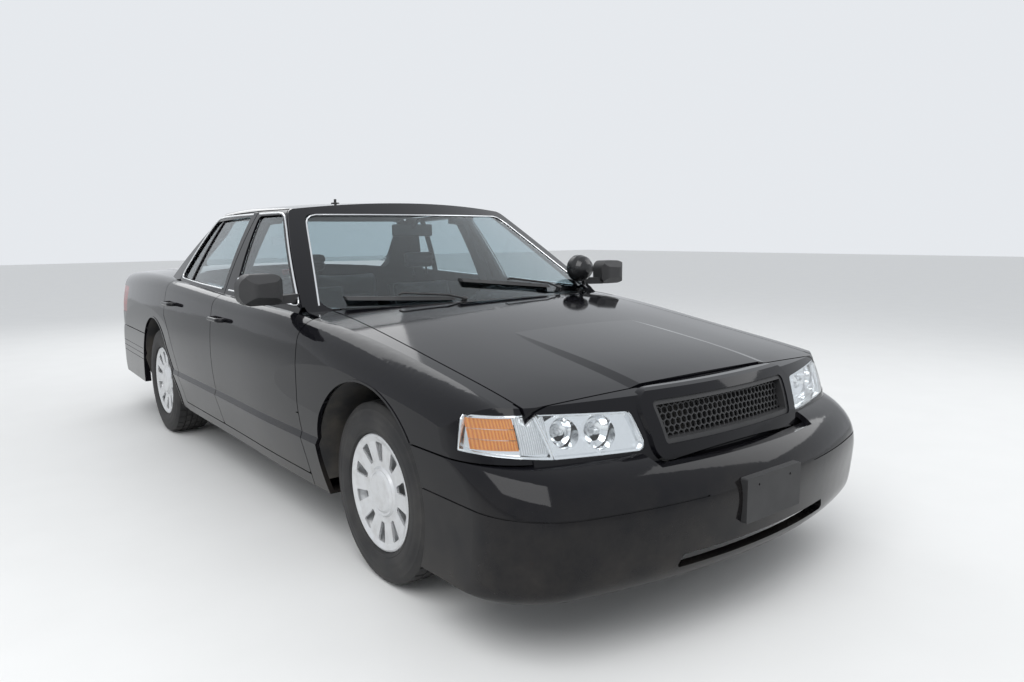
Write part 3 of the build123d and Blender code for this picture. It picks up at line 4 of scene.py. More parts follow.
import bmesh
import bpy
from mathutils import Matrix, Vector

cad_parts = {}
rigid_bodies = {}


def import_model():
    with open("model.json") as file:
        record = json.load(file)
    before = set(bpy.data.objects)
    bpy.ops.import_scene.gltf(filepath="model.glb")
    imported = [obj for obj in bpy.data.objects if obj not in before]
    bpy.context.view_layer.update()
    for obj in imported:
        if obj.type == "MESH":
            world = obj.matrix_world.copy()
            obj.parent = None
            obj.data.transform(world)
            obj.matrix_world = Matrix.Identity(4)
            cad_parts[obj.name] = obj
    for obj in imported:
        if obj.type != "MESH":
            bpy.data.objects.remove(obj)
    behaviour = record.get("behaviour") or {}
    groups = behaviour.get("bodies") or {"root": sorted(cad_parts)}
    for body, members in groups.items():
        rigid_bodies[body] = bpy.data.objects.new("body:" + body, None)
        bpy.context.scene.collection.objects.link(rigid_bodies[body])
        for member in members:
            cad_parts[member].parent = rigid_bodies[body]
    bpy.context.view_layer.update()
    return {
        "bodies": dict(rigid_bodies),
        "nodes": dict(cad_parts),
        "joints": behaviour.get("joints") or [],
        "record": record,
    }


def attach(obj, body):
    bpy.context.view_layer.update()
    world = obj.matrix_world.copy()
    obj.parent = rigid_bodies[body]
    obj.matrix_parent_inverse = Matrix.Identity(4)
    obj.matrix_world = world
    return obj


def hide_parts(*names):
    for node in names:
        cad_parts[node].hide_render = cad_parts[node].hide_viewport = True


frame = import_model()
nodes = frame["nodes"]
print("frame loaded:", len(nodes), "CAD nodes")

# where the photograph was taken from
photoView = {
    "place": (-2.1985, -4.0794, 1.2957),
    "turn": -38.129,
    "tilt": -8.011,
    "roll": -0.474,
    "lens": 26.76,
}


def setCamera():
    data = bpy.data.cameras.new("photoCamera")
    data.lens = photoView["lens"]
    data.sensor_width = 36
    data.clip_end = 200
    camera = bpy.data.objects.new("photoCamera", data)
    bpy.context.scene.collection.objects.link(camera)
    camera.location = photoView["place"]
    camera.rotation_euler = (math.radians(90 + photoView["tilt"]), 0, math.radians(photoView["turn"]))
    camera.rotation_euler.rotate_axis("Z", math.radians(photoView["roll"]))
    bpy.context.scene.camera = camera


setCamera()
bpy.context.scene.view_settings.view_transform = "Standard"


# a socket that Python arithmetic turns into Math nodes
class Signal:
    def __init__(self, finish, socket):
        self.finish = finish
        self.socket = socket

    def math(self, operation, first, second=None):
        values = {0: first} if second is None else {0: first, 1: second}
        return self.finish.node("ShaderNodeMath", {"operation": operation}, values)

    def __add__(self, other):
        return self.math("ADD", self, other)

    def __radd__(self, other):
        return self.math("ADD", other, self)

    def __sub__(self, other):
        return self.math("SUBTRACT", self, other)

    def __rsub__(self, other):
        return self.math("SUBTRACT", other, self)

    def __mul__(self, other):
        return self.math("MULTIPLY", self, other)

    def __rmul__(self, other):
        return self.math("MULTIPLY", other, self)

    def within(self, low, high):
        # 0 at low and 1 at high, clamped
        return self.finish.node("ShaderNodeMapRange", {"clamp": True}, {0: self, 1: low, 2: high}, 0)


# one material: a Principled shader and what feeds it
class Finish:
    def __init__(self, name, color=(0.5, 0.5, 0.5), **constants):
        self.material = bpy.data.materials.new(name)
        self.material.use_nodes = True
        self.tree = self.material.node_tree
        self.shader = self.tree.nodes["Principled BSDF"]
        self.out = self.tree.nodes["Material Output"]
        self.shader.inputs["Base Color"].default_value = (*color, 1)
        for key, value in constants.items():
            self.shader.inputs[key.replace("_", " ")].default_value = value

    def node(self, kind, settings=None, values=None, output=0):
        made = self.tree.nodes.new(kind)
        for key, value in (settings or {}).items():
            setattr(made, key, value)
        for key, value in (values or {}).items():
            if isinstance(value, Signal):
                self.tree.links.new(value.socket, made.inputs[key])
            else:
                made.inputs[key].default_value = value
        return Signal(self, made.outputs[output])

    def place(self, source="Object"):
        return self.node("ShaderNodeTexCoord", output=source)

    def axes(self):
        split = self.node("ShaderNodeSeparateXYZ", values={0: self.place()})
        tree = split.socket.node.outputs
        return Signal(self, tree[0]), Signal(self, tree[1]), Signal(self, tree[2])

    def noise(self, scale, detail=3.0, rough=0.5):
        return self.node("ShaderNodeTexNoise", values={
            "Vector": self.place(), "Scale": scale, "Detail": detail, "Roughness": rough}, output="Fac")

    def waves(self, along, count):
        # fine parallel ribs, from -1 to 1
        return self.node("ShaderNodeMath", {"operation": "SINE"}, {0: along * count})

    def mix(self, factor, low, high):
        def tint(value):
            return value if isinstance(value, Signal) else (*value, 1)
        values = {"Factor": factor, 6: tint(low), 7: tint(high)}
        return self.node("ShaderNodeMix", {"data_type": "RGBA"}, values, 2)

    def bump(self, height, strength=0.2, distance=0.001):
        values = {"Height": height, "Strength": strength, "Distance": distance}
        return self.node("ShaderNodeBump", values=values, output="Normal")

    def feed(self, **links):
        for key, value in links.items():
            self.tree.links.new(value.socket, self.shader.inputs[key.replace("_", " ")])
        return self


def deselectAll():
    if bpy.context.object and bpy.context.object.mode != "OBJECT":
        bpy.ops.object.mode_set(mode="OBJECT")
    bpy.ops.object.select_all(action="DESELECT")


# floor, backdrop and soft light
studio = {"floorColor": (0.72, 0.72, 0.71), "skyStrength": 0.85, "half": 40.0}


def layFloor():
    deselectAll()
    bpy.ops.mesh.primitive_grid_add(x_subdivisions=8, y_subdivisions=8, size=2 * studio["half"])
    floor = bpy.context.object
    floor.name = "studioFloor"
    paint = Finish("floorPaint", studio["floorColor"], Roughness=0.65)
    grain = paint.noise(3.0, 4)
    paint.feed(Base_Color=paint.mix(grain, (0.70, 0.70, 0.69), (0.74, 0.74, 0.73)))
    floor.data.materials.append(paint.material)


def lightStudio():
    world = bpy.data.worlds.new("studioWorld")
    bpy.context.scene.world = world
    world.use_nodes = True
    tree = world.node_tree
    back = tree.nodes["Background"]
    back.inputs["Strength"].default_value = studio["skyStrength"]
    back.inputs["Color"].default_value = (0.93, 0.96, 1.0, 1)
    lamps = (
        ("keyLamp", (-3.5, -3.5, 5.5), 5.0, 260),
        ("fillLamp", (5.0, -3.0, 4.5), 4.0, 90),
        ("backLamp", (1.0, 6.0, 5.0), 5.0, 120),
    )
    for name, place, size, power in lamps:
        data = bpy.data.lights.new(name, "AREA")
        data.size = size
        data.energy = power
        lamp = bpy.data.objects.new(name, data)
        bpy.context.scene.collection.objects.link(lamp)
        lamp.location = place
        lamp.rotation_euler = (Vector((0, 0, 0.6)) - Vector(place)).to_track_quat("-Z", "Y").to_euler()


layFloor()
lightStudio()
print("stage and lamps ready")


# the finishes, by the slot they belong to
def makeFinishes():
    made = {}

    paint = Finish("blackBodyPaint", (0.0045, 0.0045, 0.006), Roughness=0.08, Coat_Roughness=0.02)
    paint.shader.inputs["Coat Weight"].default_value = 0.12
    paint.shader.inputs["Specular IOR Level"].default_value = 0.17
    height = paint.axes()[2]
    dust = (1 - height.within(0.22, 0.62)) * paint.noise(5.0, 6, 0.65).within(0.35, 0.75)
    paint.feed(
        Base_Color=paint.mix(dust * 0.5, (0.0045, 0.0045, 0.006), (0.055, 0.048, 0.040)),
        Roughness=0.05 + paint.noise(2.2, 5).within(0.3, 0.8) * 0.05 + dust * 0.22,
        Normal=paint.bump(paint.noise(260, 2), 0.05, 0.0004),
    )
    made["gloss_black_paint"] = paint

    plastic = Finish("blackPlastic", (0.02, 0.02, 0.021), Roughness=0.55)
    plastic.feed(
        Base_Color=plastic.mix(plastic.noise(9, 4), (0.016, 0.016, 0.017), (0.030, 0.030, 0.031)),
        Roughness=0.45 + plastic.noise(14, 3) * 0.2,
        Normal=plastic.bump(plastic.noise(900, 2), 0.25, 0.0004),
    )
    made["black_plastic"] = plastic

    spot = Finish("spotlightShell", (0.012, 0.012, 0.013), Roughness=0.22)
    spot.feed(Roughness=0.16 + spot.noise(30, 3) * 0.12, Normal=spot.bump(spot.noise(240, 2), 0.08, 0.0005))
    made["spotlight_housing"] = spot

    clear = Finish("clearLens", (0.93, 0.95, 0.96), Roughness=0.02, IOR=1.49)
    clear.shader.inputs["Transmission Weight"].default_value = 1.0
    clear.feed(Roughness=0.01 + clear.noise(40, 3).within(0.5, 0.9) * 0.03)
    made["clear_lens"] = clear

    mirror = Finish("lampReflector", (0.86, 0.87, 0.88), Metallic=1.0, Roughness=0.14)
    mirror.feed(
        Roughness=0.08 + mirror.noise(60, 2) * 0.08,
        Normal=mirror.bump(mirror.noise(70, 2), 0.1, 0.001),
    )
    made["lamp_reflector"] = mirror

    red = Finish("redLens", (0.42, 0.006, 0.008), Roughness=0.1, IOR=1.49)
    red.shader.inputs["Specular IOR Level"].default_value = 0.3
    rib = red.waves(red.axes()[2], 700.0)
    red.feed(
        Base_Color=red.mix(rib.within(-1, 1), (0.12, 0.001, 0.002), (0.34, 0.006, 0.008)),
        Normal=red.bump(rib, 0.12, 0.001),
    )
    made["red_lens"] = red

    glass = Finish("windowGlass", (0.62, 0.71, 0.74), Roughness=0.0, IOR=1.45)
    glass.shader.inputs["Transmission Weight"].default_value = 1.0
    glass.feed(Roughness=glass.noise(3.0, 4).within(0.55, 0.95) * 0.02)
    made["window_glass"] = glass

    rubber = Finish("tyreRubber", (0.018, 0.018, 0.019), Roughness=0.7)
    wear = rubber.noise(7, 5, 0.6)
    rubber.feed(
        Base_Color=rubber.mix(wear.within(0.35, 0.75), (0.012, 0.012, 0.013), (0.042, 0.040, 0.038)),
        Roughness=0.6 + wear * 0.25,
        Normal=rubber.bump(rubber.noise(500, 3), 0.2, 0.0006),
    )
    made["tyre_rubber"] = rubber

    silver = Finish("silverWheelPaint", (0.60, 0.61, 0.62), Metallic=0.55, Roughness=0.34)
    grime = silver.noise(20, 5, 0.6).within(0.45, 0.8)
    silver.feed(
        Base_Color=silver.mix(grime * 0.5, (0.64, 0.65, 0.66), (0.42, 0.41, 0.39)),
        Roughness=0.3 + grime * 0.25,
        Normal=silver.bump(silver.noise(700, 2), 0.05, 0.0004),
    )
    made["silver_wheel"] = silver

    steel = Finish("blackSteel", (0.022, 0.022, 0.022), Metallic=0.2, Roughness=0.55)
    rust = steel.noise(11, 6, 0.65).within(0.56, 0.75)
    steel.feed(
        Base_Color=steel.mix(rust, (0.020, 0.020, 0.021), (0.075, 0.040, 0.022)),
        Roughness=0.5 + rust * 0.3,
        Normal=steel.bump(steel.noise(90, 5), 0.3, 0.001),
    )
    made["black_steel"] = steel

    floor = Finish("floorSteel", (0.035, 0.035, 0.036), Roughness=0.7)
    mud = floor.noise(6, 6, 0.6).within(0.45, 0.75)
    floor.feed(
        Base_Color=floor.mix(mud, (0.028, 0.028, 0.029), (0.085, 0.075, 0.062)),
        Roughness=0.6 + mud * 0.3,
        Normal=floor.bump(floor.noise(60, 5), 0.3, 0.0015),
    )
    made["floor_steel"] = floor

    cast = Finish("castEngine", (0.25, 0.25, 0.25), Metallic=0.7, Roughness=0.6)
    oil = cast.noise(8, 5).within(0.5, 0.75)
    cast.feed(
        Base_Color=cast.mix(oil, (0.28, 0.28, 0.275), (0.07, 0.06, 0.05)),
        Roughness=0.65 - oil * 0.3,
        Normal=cast.bump(cast.noise(160, 4), 0.4, 0.001),
    )
    made["cast_engine"] = cast

    pipe = Finish("exhaustSteel", (0.36, 0.34, 0.32), Metallic=0.9, Roughness=0.42)
    scale = pipe.noise(9, 6, 0.6).within(0.4, 0.7)
    pipe.feed(
        Base_Color=pipe.mix(scale, (0.42, 0.40, 0.38), (0.20, 0.12, 0.075)),
        Roughness=0.35 + scale * 0.4,
        Normal=pipe.bump(pipe.noise(140, 4), 0.2, 0.001),
    )
    made["exhaust_steel"] = pipe

    cloth = Finish("seatCloth", (0.045, 0.045, 0.048), Roughness=0.95)
    cloth.shader.inputs["Sheen Weight"].default_value = 0.25
    cx, cy, cz = cloth.axes()
    weave = cloth.waves(cx, 2100.0) * cloth.waves(cy + cz, 2100.0)
    cloth.feed(
        Base_Color=cloth.mix(weave.within(-1, 1), (0.030, 0.030, 0.033), (0.070, 0.070, 0.075)),
        Normal=cloth.bump(weave, 0.35, 0.0008),
    )
    made["seat_cloth"] = cloth
    return made


finishes = makeFinishes()
slotOf = {part["node"]: part["material_slot"] for part in frame["record"]["subparts"]}


def dress(piece, finish):
    piece.data.materials.clear()
    piece.data.materials.append(finish.material)


for nodeName, nodeObject in nodes.items():
    dress(nodeObject, finishes[slotOf[nodeName]])
print("finishes on the CAD nodes")


# modelling steps that several pieces share
def startLine(name, points):
    # one vertex, extruded from point to point
    deselectAll()
    bpy.ops.mesh.primitive_plane_add(size=0.01, location=points[0])
    line = bpy.context.object
    line.name = name
    bpy.ops.object.mode_set(mode="EDIT")
    bpy.ops.mesh.select_mode(type="VERT")
    bpy.ops.mesh.select_all(action="SELECT")
    bpy.ops.mesh.merge(type="CENTER")
    for before, after in zip(points, points[1:]):
        step = Vector(after) - Vector(before)
        bpy.ops.mesh.extrude_region_move(TRANSFORM_OT_translate={"value": step})
    return line


def turnLine(name, points, center, axis, steps):
    # a closed profile spun all the way round
    line = startLine(name, list(points) + [points[0]])
    bpy.ops.mesh.select_all(action="SELECT")
    bpy.ops.mesh.spin(steps=steps, angle=math.tau, center=center, axis=axis)
    bpy.ops.mesh.select_all(action="SELECT")
    bpy.ops.mesh.remove_doubles(threshold=0.00005)
    bpy.ops.mesh.normals_make_consistent(inside=False)
    bpy.ops.object.mode_set(mode="OBJECT")
    bpy.ops.object.transform_apply(location=True, rotation=True, scale=True)
    return line


def addBlock(name, low, high):
    deselectAll()
    low, high = Vector(map(min, low, high)), Vector(map(max, low, high))
    bpy.ops.mesh.primitive_cube_add(size=1, location=(low + high) / 2, scale=high - low)
    block = bpy.context.object
    block.name = name
    bpy.ops.object.transform_apply(location=True, rotation=True, scale=True)
    return block


def cutAcross(piece, place, axis, keep):
    # one bisect square to an axis that keeps its "low" or its "high" side
    bpy.context.view_layer.objects.active = piece
    bpy.ops.object.mode_set(mode="EDIT")
    bpy.ops.mesh.select_all(action="SELECT")
    normal = [0, 0, 0]
    normal[axis] = 1
    bpy.ops.mesh.bisect(
        plane_co=place, plane_no=normal, clear_outer=keep == "low", clear_inner=keep == "high")
    bpy.ops.object.mode_set(mode="OBJECT")


def pickFaces(piece, test):
    # into edit mode with the faces selected whose centre and normal pass the test
    deselectAll()
    bpy.context.view_layer.objects.active = piece
    piece.select_set(True)
    bpy.ops.object.mode_set(mode="EDIT")
    bpy.ops.mesh.select_mode(type="FACE")
    bpy.ops.mesh.select_all(action="DESELECT")
    mesh = bmesh.from_edit_mesh(piece.data)
    for face in mesh.faces:
        if test(face.calc_center_median(), face.normal):
            face.select_set(True)
    bmesh.update_edit_mesh(piece.data)


def applyAll(piece):
    deselectAll()
    bpy.context.view_layer.objects.active = piece
    piece.select_set(True)
    for modifier in list(piece.modifiers):
        bpy.ops.object.modifier_apply(modifier=modifier.name)


def bevelAll(piece, width, segments=2, angle=35):
    modifier = piece.modifiers.new("edges", "BEVEL")
    modifier.width = width
    modifier.segments = segments
    modifier.limit_method = "ANGLE"
    modifier.angle_limit = math.radians(angle)
    applyAll(piece)


def subdivideAll(piece, levels=2):
    modifier = piece.modifiers.new("smooth", "SUBSURF")
    modifier.levels = levels
    modifier.render_levels = levels
    applyAll(piece)


def thicken(piece, thickness, offset=-1.0):
    modifier = piece.modifiers.new("wall", "SOLIDIFY")
    modifier.thickness = thickness
    modifier.offset = offset
    applyAll(piece)


def copyPiece(piece, name, move):
    deselectAll()
    bpy.context.view_layer.objects.active = piece
    piece.select_set(True)
    bpy.ops.object.duplicate()
    twin = bpy.context.object
    twin.name = name
    twin.location = move
    bpy.ops.object.transform_apply(location=True, rotation=True, scale=True)
    return twin


def settle(piece, body, finish, angle=35):
    # last steps of every piece: smooth shading, finish and body
    deselectAll()
    bpy.context.view_layer.objects.active = piece
    piece.select_set(True)
    bpy.ops.object.transform_apply(location=True, rotation=True, scale=True)
    bpy.ops.object.shade_smooth_by_angle(angle=math.radians(angle))
    dress(piece, finish)
    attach(piece, body)
    return piece


def meshCopy(node, name, keep):
    # a merged copy of the faces of a CAD node that pass a test
    deselectAll()
    source = nodes[node]
    bpy.context.view_layer.objects.active = source
    source.select_set(True)
    bpy.ops.object.duplicate()
    twin = bpy.context.object
    twin.name = name
    twin.parent = None
    for key in [key for key in twin.keys() if key.startswith("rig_")]:
        del twin[key]
    bpy.ops.object.mode_set(mode="EDIT")
    bpy.ops.mesh.select_all(action="SELECT")
    bpy.ops.mesh.remove_doubles(threshold=0.00001)
    bpy.ops.object.mode_set(mode="OBJECT")
    pickFaces(twin, lambda center, normal: not keep(center, normal))
    bpy.ops.mesh.delete(type="FACE")
    bpy.ops.object.mode_set(mode="OBJECT")
    return twin


def slide(piece, step):
    # the whole mesh moved by a step
    deselectAll()
    bpy.context.view_layer.objects.active = piece
    piece.select_set(True)
    bpy.ops.object.mode_set(mode="EDIT")
    bpy.ops.mesh.select_mode(type="VERT")
    bpy.ops.mesh.select_all(action="SELECT")
    bpy.ops.transform.translate(value=step)
    bpy.ops.object.mode_set(mode="OBJECT")


# tyres: sidewall ribs, four grooves round the tread and sipes across its ribs
tyreShape = {
    "steps": 144,
    "half": 0.1175,
    "radius": 0.345,
    "bead": 0.2225,
    "grooves": (-0.054, -0.018, 0.018, 0.054),
    "grooveHalf": 0.0045,
    "grooveDepth": 0.0075,
    "grooveTaper": 0.001,
    "crownDrop": 0.35,
    "ribPitch": 0.036,
    "sipeEvery": 4,
    "sipeDepth": 0.004,
    "sipeInset": 0.0018,
}
wheelPlaces = {
    "front_left": (0.805, -1.6225), "front_right": (-0.805, -1.6225),
    "rear_left": (0.833, 1.2905), "rear_right": (-0.833, 1.2905),
}


def makeTyre():
    half, radius, bead = tyreShape["half"], tyreShape["radius"], tyreShape["bead"]
    taper = tyreShape["grooveTaper"]
    # the sidewall with its rings, as (inwards from the widest place, outwards from the bead)
    wall = (
        (0.022, 0), (0.008, 0.006), (0.004, 0.016), (0.0055, 0.018), (0.001, 0.034), (0, 0.050),
        (0.0012, 0.052), (0.001, 0.056), (0.0035, 0.076), (0.006, 0.080), (0.0075, 0.094), (0.0095, 0.096),
        (0.013, 0.110),
    )
    side = [(half - inwards, bead + outwards) for inwards, outwards in wall] + [(half - 0.022, radius - 0.0045)]
    tread = []
    for middle in reversed(tyreShape["grooves"]):
        low, high = middle - tyreShape["grooveHalf"], middle + tyreShape["grooveHalf"]
        crown = radius - tyreShape["crownDrop"] * middle ** 2
        deep = crown - tyreShape["grooveDepth"]
        tread += [(high, crown), (high - taper, deep), (low + taper, deep), (low, crown)]
    ring = side + tread + [(-x, r) for x, r in reversed(side)] + [(-0.08, bead + 0.012), (0.08, bead + 0.012)]
    tyre = turnLine("tyreMaster", [(x, 0, r) for x, r in ring], (0, 0, 0), (1, 0, 0), tyreShape["steps"])
    pitch = math.tau / tyreShape["steps"]

    def isSipe(center, normal):
        reach = math.hypot(center.y, center.z)
        if reach < radius - 0.006 or abs(center.x) > half - 0.016:
            return False
        rib = round(center.x / tyreShape["ribPitch"])
        turn = math.atan2(center.z, center.y) / pitch + 0.02
        return int(turn // 1 + rib) % tyreShape["sipeEvery"] == 0 and normal.x ** 2 < 0.3

    pickFaces(tyre, isSipe)
    bpy.ops.mesh.inset(thickness=tyreShape["sipeInset"], depth=-tyreShape["sipeDepth"])
    bpy.ops.object.mode_set(mode="OBJECT")
    return tyre


def fitTyres():
    master = makeTyre()
    for corner, (x, y) in wheelPlaces.items():
        tyre = copyPiece(master, f"tyreTread_{corner}", (x, y, tyreShape["radius"]))
        settle(tyre, f"wheel_{corner}", finishes["tyre_rubber"])
        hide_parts(f"tyre_{corner}")
    bpy.data.objects.remove(master)


fitTyres()
print("tyres ready")


# a round bar along points, capped at both ends
def addBar(name, points, radius):
    startLine(name, points)
    bpy.ops.object.mode_set(mode="OBJECT")
    bpy.ops.object.convert(target="CURVE")
    line = bpy.context.object
    line.data.dimensions = "3D"
    line.data.bevel_depth = radius
    line.data.bevel_resolution = 2
    line.data.use_fill_caps = True
    bpy.ops.object.convert(target="MESH")
    return bpy.context.object


def addRod(name, start, end, radius, sides=24):
    deselectAll()
    start, end = Vector(start), Vector(end)
    turn = (end - start).to_track_quat("Z", "Y").to_euler()
    bpy.ops.mesh.primitive_cylinder_add(
        vertices=sides, radius=radius, depth=(end - start).length, location=(start + end) / 2, rotation=turn)
    bpy.context.object.name = name
    bpy.ops.object.transform_apply(location=True, rotation=True, scale=True)
    return bpy.context.object


def addBall(name, center, radius, squash):
    deselectAll()
    bpy.ops.mesh.primitive_uv_sphere_add(
        segments=24, ring_count=12, radius=radius, location=center, scale=squash)
    bpy.context.object.name = name
    bpy.ops.object.transform_apply(location=True, rotation=True, scale=True)
    return bpy.context.object


def sided(place, side):
    return (side * place[0], place[1], place[2])


def joinAll(pieces, name):
    deselectAll()
    for piece in pieces:
        piece.select_set(True)
    bpy.context.view_layer.objects.active = pieces[0]
    bpy.ops.object.join()
    bpy.context.object.name = name
    return bpy.context.object


# finishes of the scene's own pieces
def makeExtras():
    made = {}

    bright = Finish("brightTrim", (0.80, 0.81, 0.82), Metallic=1.0, Roughness=0.14)
    bright.feed(Roughness=0.08 + bright.noise(25, 4) * 0.12)
    made["bright"] = bright

    seal = Finish("rubberSeal", (0.010, 0.010, 0.011), Roughness=0.62)
    seal.feed(Roughness=0.5 + seal.noise(60, 3) * 0.2)
    made["seal"] = seal

    amber = Finish("amberLens", (0.95, 0.30, 0.02), Roughness=0.14)
    amber.shader.inputs["Coat Weight"].default_value = 0.7
    flute = amber.waves(amber.axes()[0], 900.0)
    amber.feed(
        Base_Color=amber.mix(flute.within(-1, 1), (0.80, 0.20, 0.01), (1.0, 0.40, 0.04)),
        Normal=amber.bump(flute, 0.3, 0.001),
    )
    made["amber"] = amber

    frost = Finish("flutedLens", (0.86, 0.88, 0.90), Roughness=0.16, Metallic=0.35)
    groove = frost.waves(frost.axes()[0], 1100.0)
    frost.feed(
        Base_Color=frost.mix(groove.within(-1, 1), (0.60, 0.62, 0.64), (0.95, 0.96, 0.97)),
        Normal=frost.bump(groove, 0.4, 0.001),
    )
    made["frost"] = frost

    vinyl = Finish("cabinVinyl", (0.035, 0.035, 0.037), Roughness=0.6)
    grain = vinyl.node("ShaderNodeTexVoronoi", {"feature": "DISTANCE_TO_EDGE"}, {"Scale": 420.0})
    vinyl.feed(
        Base_Color=vinyl.mix(vinyl.noise(6, 4), (0.028, 0.028, 0.030), (0.050, 0.050, 0.053)),
        Roughness=0.5 + vinyl.noise(12, 3) * 0.2,
        Normal=vinyl.bump(grain, 0.3, 0.0008),
    )
    made["vinyl"] = vinyl

    carpet = Finish("cabinCarpet", (0.02, 0.02, 0.022), Roughness=1.0)
    pile = carpet.noise(700, 4, 0.7)
    carpet.feed(
        Base_Color=carpet.mix(pile, (0.010, 0.010, 0.011), (0.050, 0.050, 0.054)),
        Normal=carpet.bump(pile, 0.8, 0.002),
    )
    made["carpet"] = carpet

    lining = Finish("roofLining", (0.32, 0.32, 0.31), Roughness=1.0)
    nap = lining.noise(500, 3, 0.6)
    lining.feed(
        Base_Color=lining.mix(nap, (0.26, 0.26, 0.255), (0.38, 0.38, 0.37)),
        Normal=lining.bump(nap, 0.4, 0.001),
    )
    made["lining"] = lining

    silvered = Finish("mirrorGlass", (0.82, 0.84, 0.86), Metallic=1.0, Roughness=0.02)
    silvered.feed(Roughness=0.01 + silvered.noise(30, 3) * 0.02)
    made["silvered"] = silvered

    dial = Finish("dialFace", (0.02, 0.02, 0.022), Roughness=0.35)
    dial.feed(Roughness=0.3 + dial.noise(160, 2) * 0.1)
    made["dial"] = dial

    white = Finish("whiteMark", (0.75, 0.75, 0.73), Roughness=0.5)
    white.feed(Roughness=0.45 + white.noise(50, 2) * 0.1)
    made["white"] = white
    return made


extras = makeExtras()


def shellPoint(names, y, z, side, lift=0.0):
    # the car's outer skin at a height and a place along it, found from outside
    best = None
    for name in names:
        hit, place, normal, index = nodes[name].ray_cast(Vector((side * 2.0, y, z)), Vector((-side, 0, 0)))
        if hit and (best is None or abs(place.x) > abs(best[0].x)):
            best = (place.copy(), normal.copy())
    if best is None:
        return None
    return best[0] + best[1] * lift


def densely(points, step):
    # the same path with points close enough to follow the skin
    path = [points[0]]
    for before, after in zip(points, points[1:]):
        count = max(1, round(math.dist(before, after) / step))
        for k in range(1, count + 1):
            path.append(tuple(a + (b - a) * k / count for a, b in zip(before, after)))
    return path


# bright mouldings along the outer edge of each door frame and below its glass, as (y, z)
trimShape = {"radius": 0.0052, "step": 0.03, "lift": 0.0015, "leastX": 0.58}
trimPaths = {
    "front_door": [
        (-0.006, 1.0135), (-0.40, 1.0060), (-0.838, 0.9905), (-0.868, 0.9930), (-0.872, 1.0010),
        (-0.862, 1.0115), (-0.600, 1.1970), (-0.420, 1.3245), (-0.352, 1.3690), (-0.312, 1.3920),
        (-0.272, 1.4060), (-0.220, 1.4115), (0.030, 1.4120),
    ],
    "rear_door": [
        (0.112, 1.4115), (0.400, 1.4100), (0.600, 1.4060), (0.690, 1.3990), (0.716, 1.3860), (0.752, 1.3500),
        (0.935, 1.0760), (0.940, 1.0560), (0.930, 1.0450), (0.900, 1.0400), (0.500, 1.0250), (0.098, 1.0155),
    ],
}


def fitTrims():
    for door, path in trimPaths.items():
        for side, word in ((1, "left"), (-1, "right")):
            names = (f"{door}_{word}",)
            spots = densely(path, trimShape["step"])
            found = [shellPoint(names, y, z, side, trimShape["lift"]) for y, z in spots]
            found = [place for place in found if place and abs(place.x) > trimShape["leastX"]]
            trim = addBar(f"windowTrim_{door}_{word}", found, trimShape["radius"])
            settle(trim, f"{door}_{word}", extras["bright"], angle=60)


fitTrims()
print("window trims ready")


# a strip of a CAD skin within a box on the front view, moved and given a thickness
def skinPatch(node, name, keep, side, width, height, shift, thickness):
    patch = meshCopy(node, name, keep)
    edges = ("high", "low") if side > 0 else ("low", "high")
    for x, edge in zip(width, edges):
        cutAcross(patch, (side * x, 0, 0), 0, edge)
    for z, edge in zip(height, ("high", "low")):
        cutAcross(patch, (0, 0, z), 2, edge)
    slide(patch, shift)
    thicken(patch, thickness, 0)
    return patch


# amber turn signals and fluted reflectors behind the corner lamps' lenses
cornerLamp = {
    "amberWidth": (0.833, 0.928),
    "amberLevels": ((0.652, 0.6815), (0.683, 0.7125), (0.714, 0.744)),
    "amberWall": 0.003,
    "fluteWidth": (0.746, 0.8305),
    "fluteHeight": (0.640, 0.746),
    "fluteWall": 0.002,
    "depth": 0.011,
    "startX": 0.74,
    "facing": 0.75,
}


def fitCornerLamps():
    for side, word in ((1, "Left"), (-1, "Right")):
        def outwards(center, normal):
            facing = normal.x * side - normal.y
            return center.x * side > cornerLamp["startX"] and facing > cornerLamp["facing"]

        shift = (-side * cornerLamp["depth"], cornerLamp["depth"], 0)
        bands = [
            skinPatch("front_lamp_lenses", "amberBand", outwards, side, cornerLamp["amberWidth"], level, shift,
                      cornerLamp["amberWall"])
            for level in cornerLamp["amberLevels"]
        ]
        settle(joinAll(bands, f"turnSignal{word}"), "car", extras["amber"])
        flute = skinPatch(
            "front_lamp_lenses", f"flutedReflector{word}", outwards, side, cornerLamp["fluteWidth"],
            cornerLamp["fluteHeight"], shift, cornerLamp["fluteWall"])
        settle(flute, "car", extras["frost"])


fitCornerLamps()

# bulbs at the reflector bowls: x, y of the bulb's root, z, radius
bulbs = ((0.560, -2.398, 0.682, 0.013), (0.678, -2.362, 0.690, 0.012), (0.800, -2.290, 0.690, 0.010))
bulbShape = {"stalk": 0.012, "reach": 0.004, "tip": 0.008, "collar": 1.6, "neck": 0.9, "squash": (1, 1.5, 1)}


def fitBulbs():
    for side, word in ((1, "Left"), (-1, "Right")):
        for number, (x, y, z, radius) in enumerate(bulbs):
            root = (side * x, y + bulbShape["stalk"], z)
            stalk = addRod("stalk", root, (side * x, y - bulbShape["reach"], z), radius * bulbShape["neck"])
            bulb = addBall("bulb", (side * x, y - bulbShape["tip"], z), radius, bulbShape["squash"])
            collar = addRod("collar", root, (side * x, y + bulbShape["tip"], z), radius * bulbShape["collar"])
            settle(joinAll([stalk, bulb, collar], f"bulb{word}{number}"), "car", extras["frost"])


fitBulbs()
print("lamps ready")


# mirror glass, as the low and high corner on the left side
mirrorPlate = {"low": (0.972, -0.8515, 1.016), "high": (1.126, -0.8480, 1.122), "edge": 0.0012}


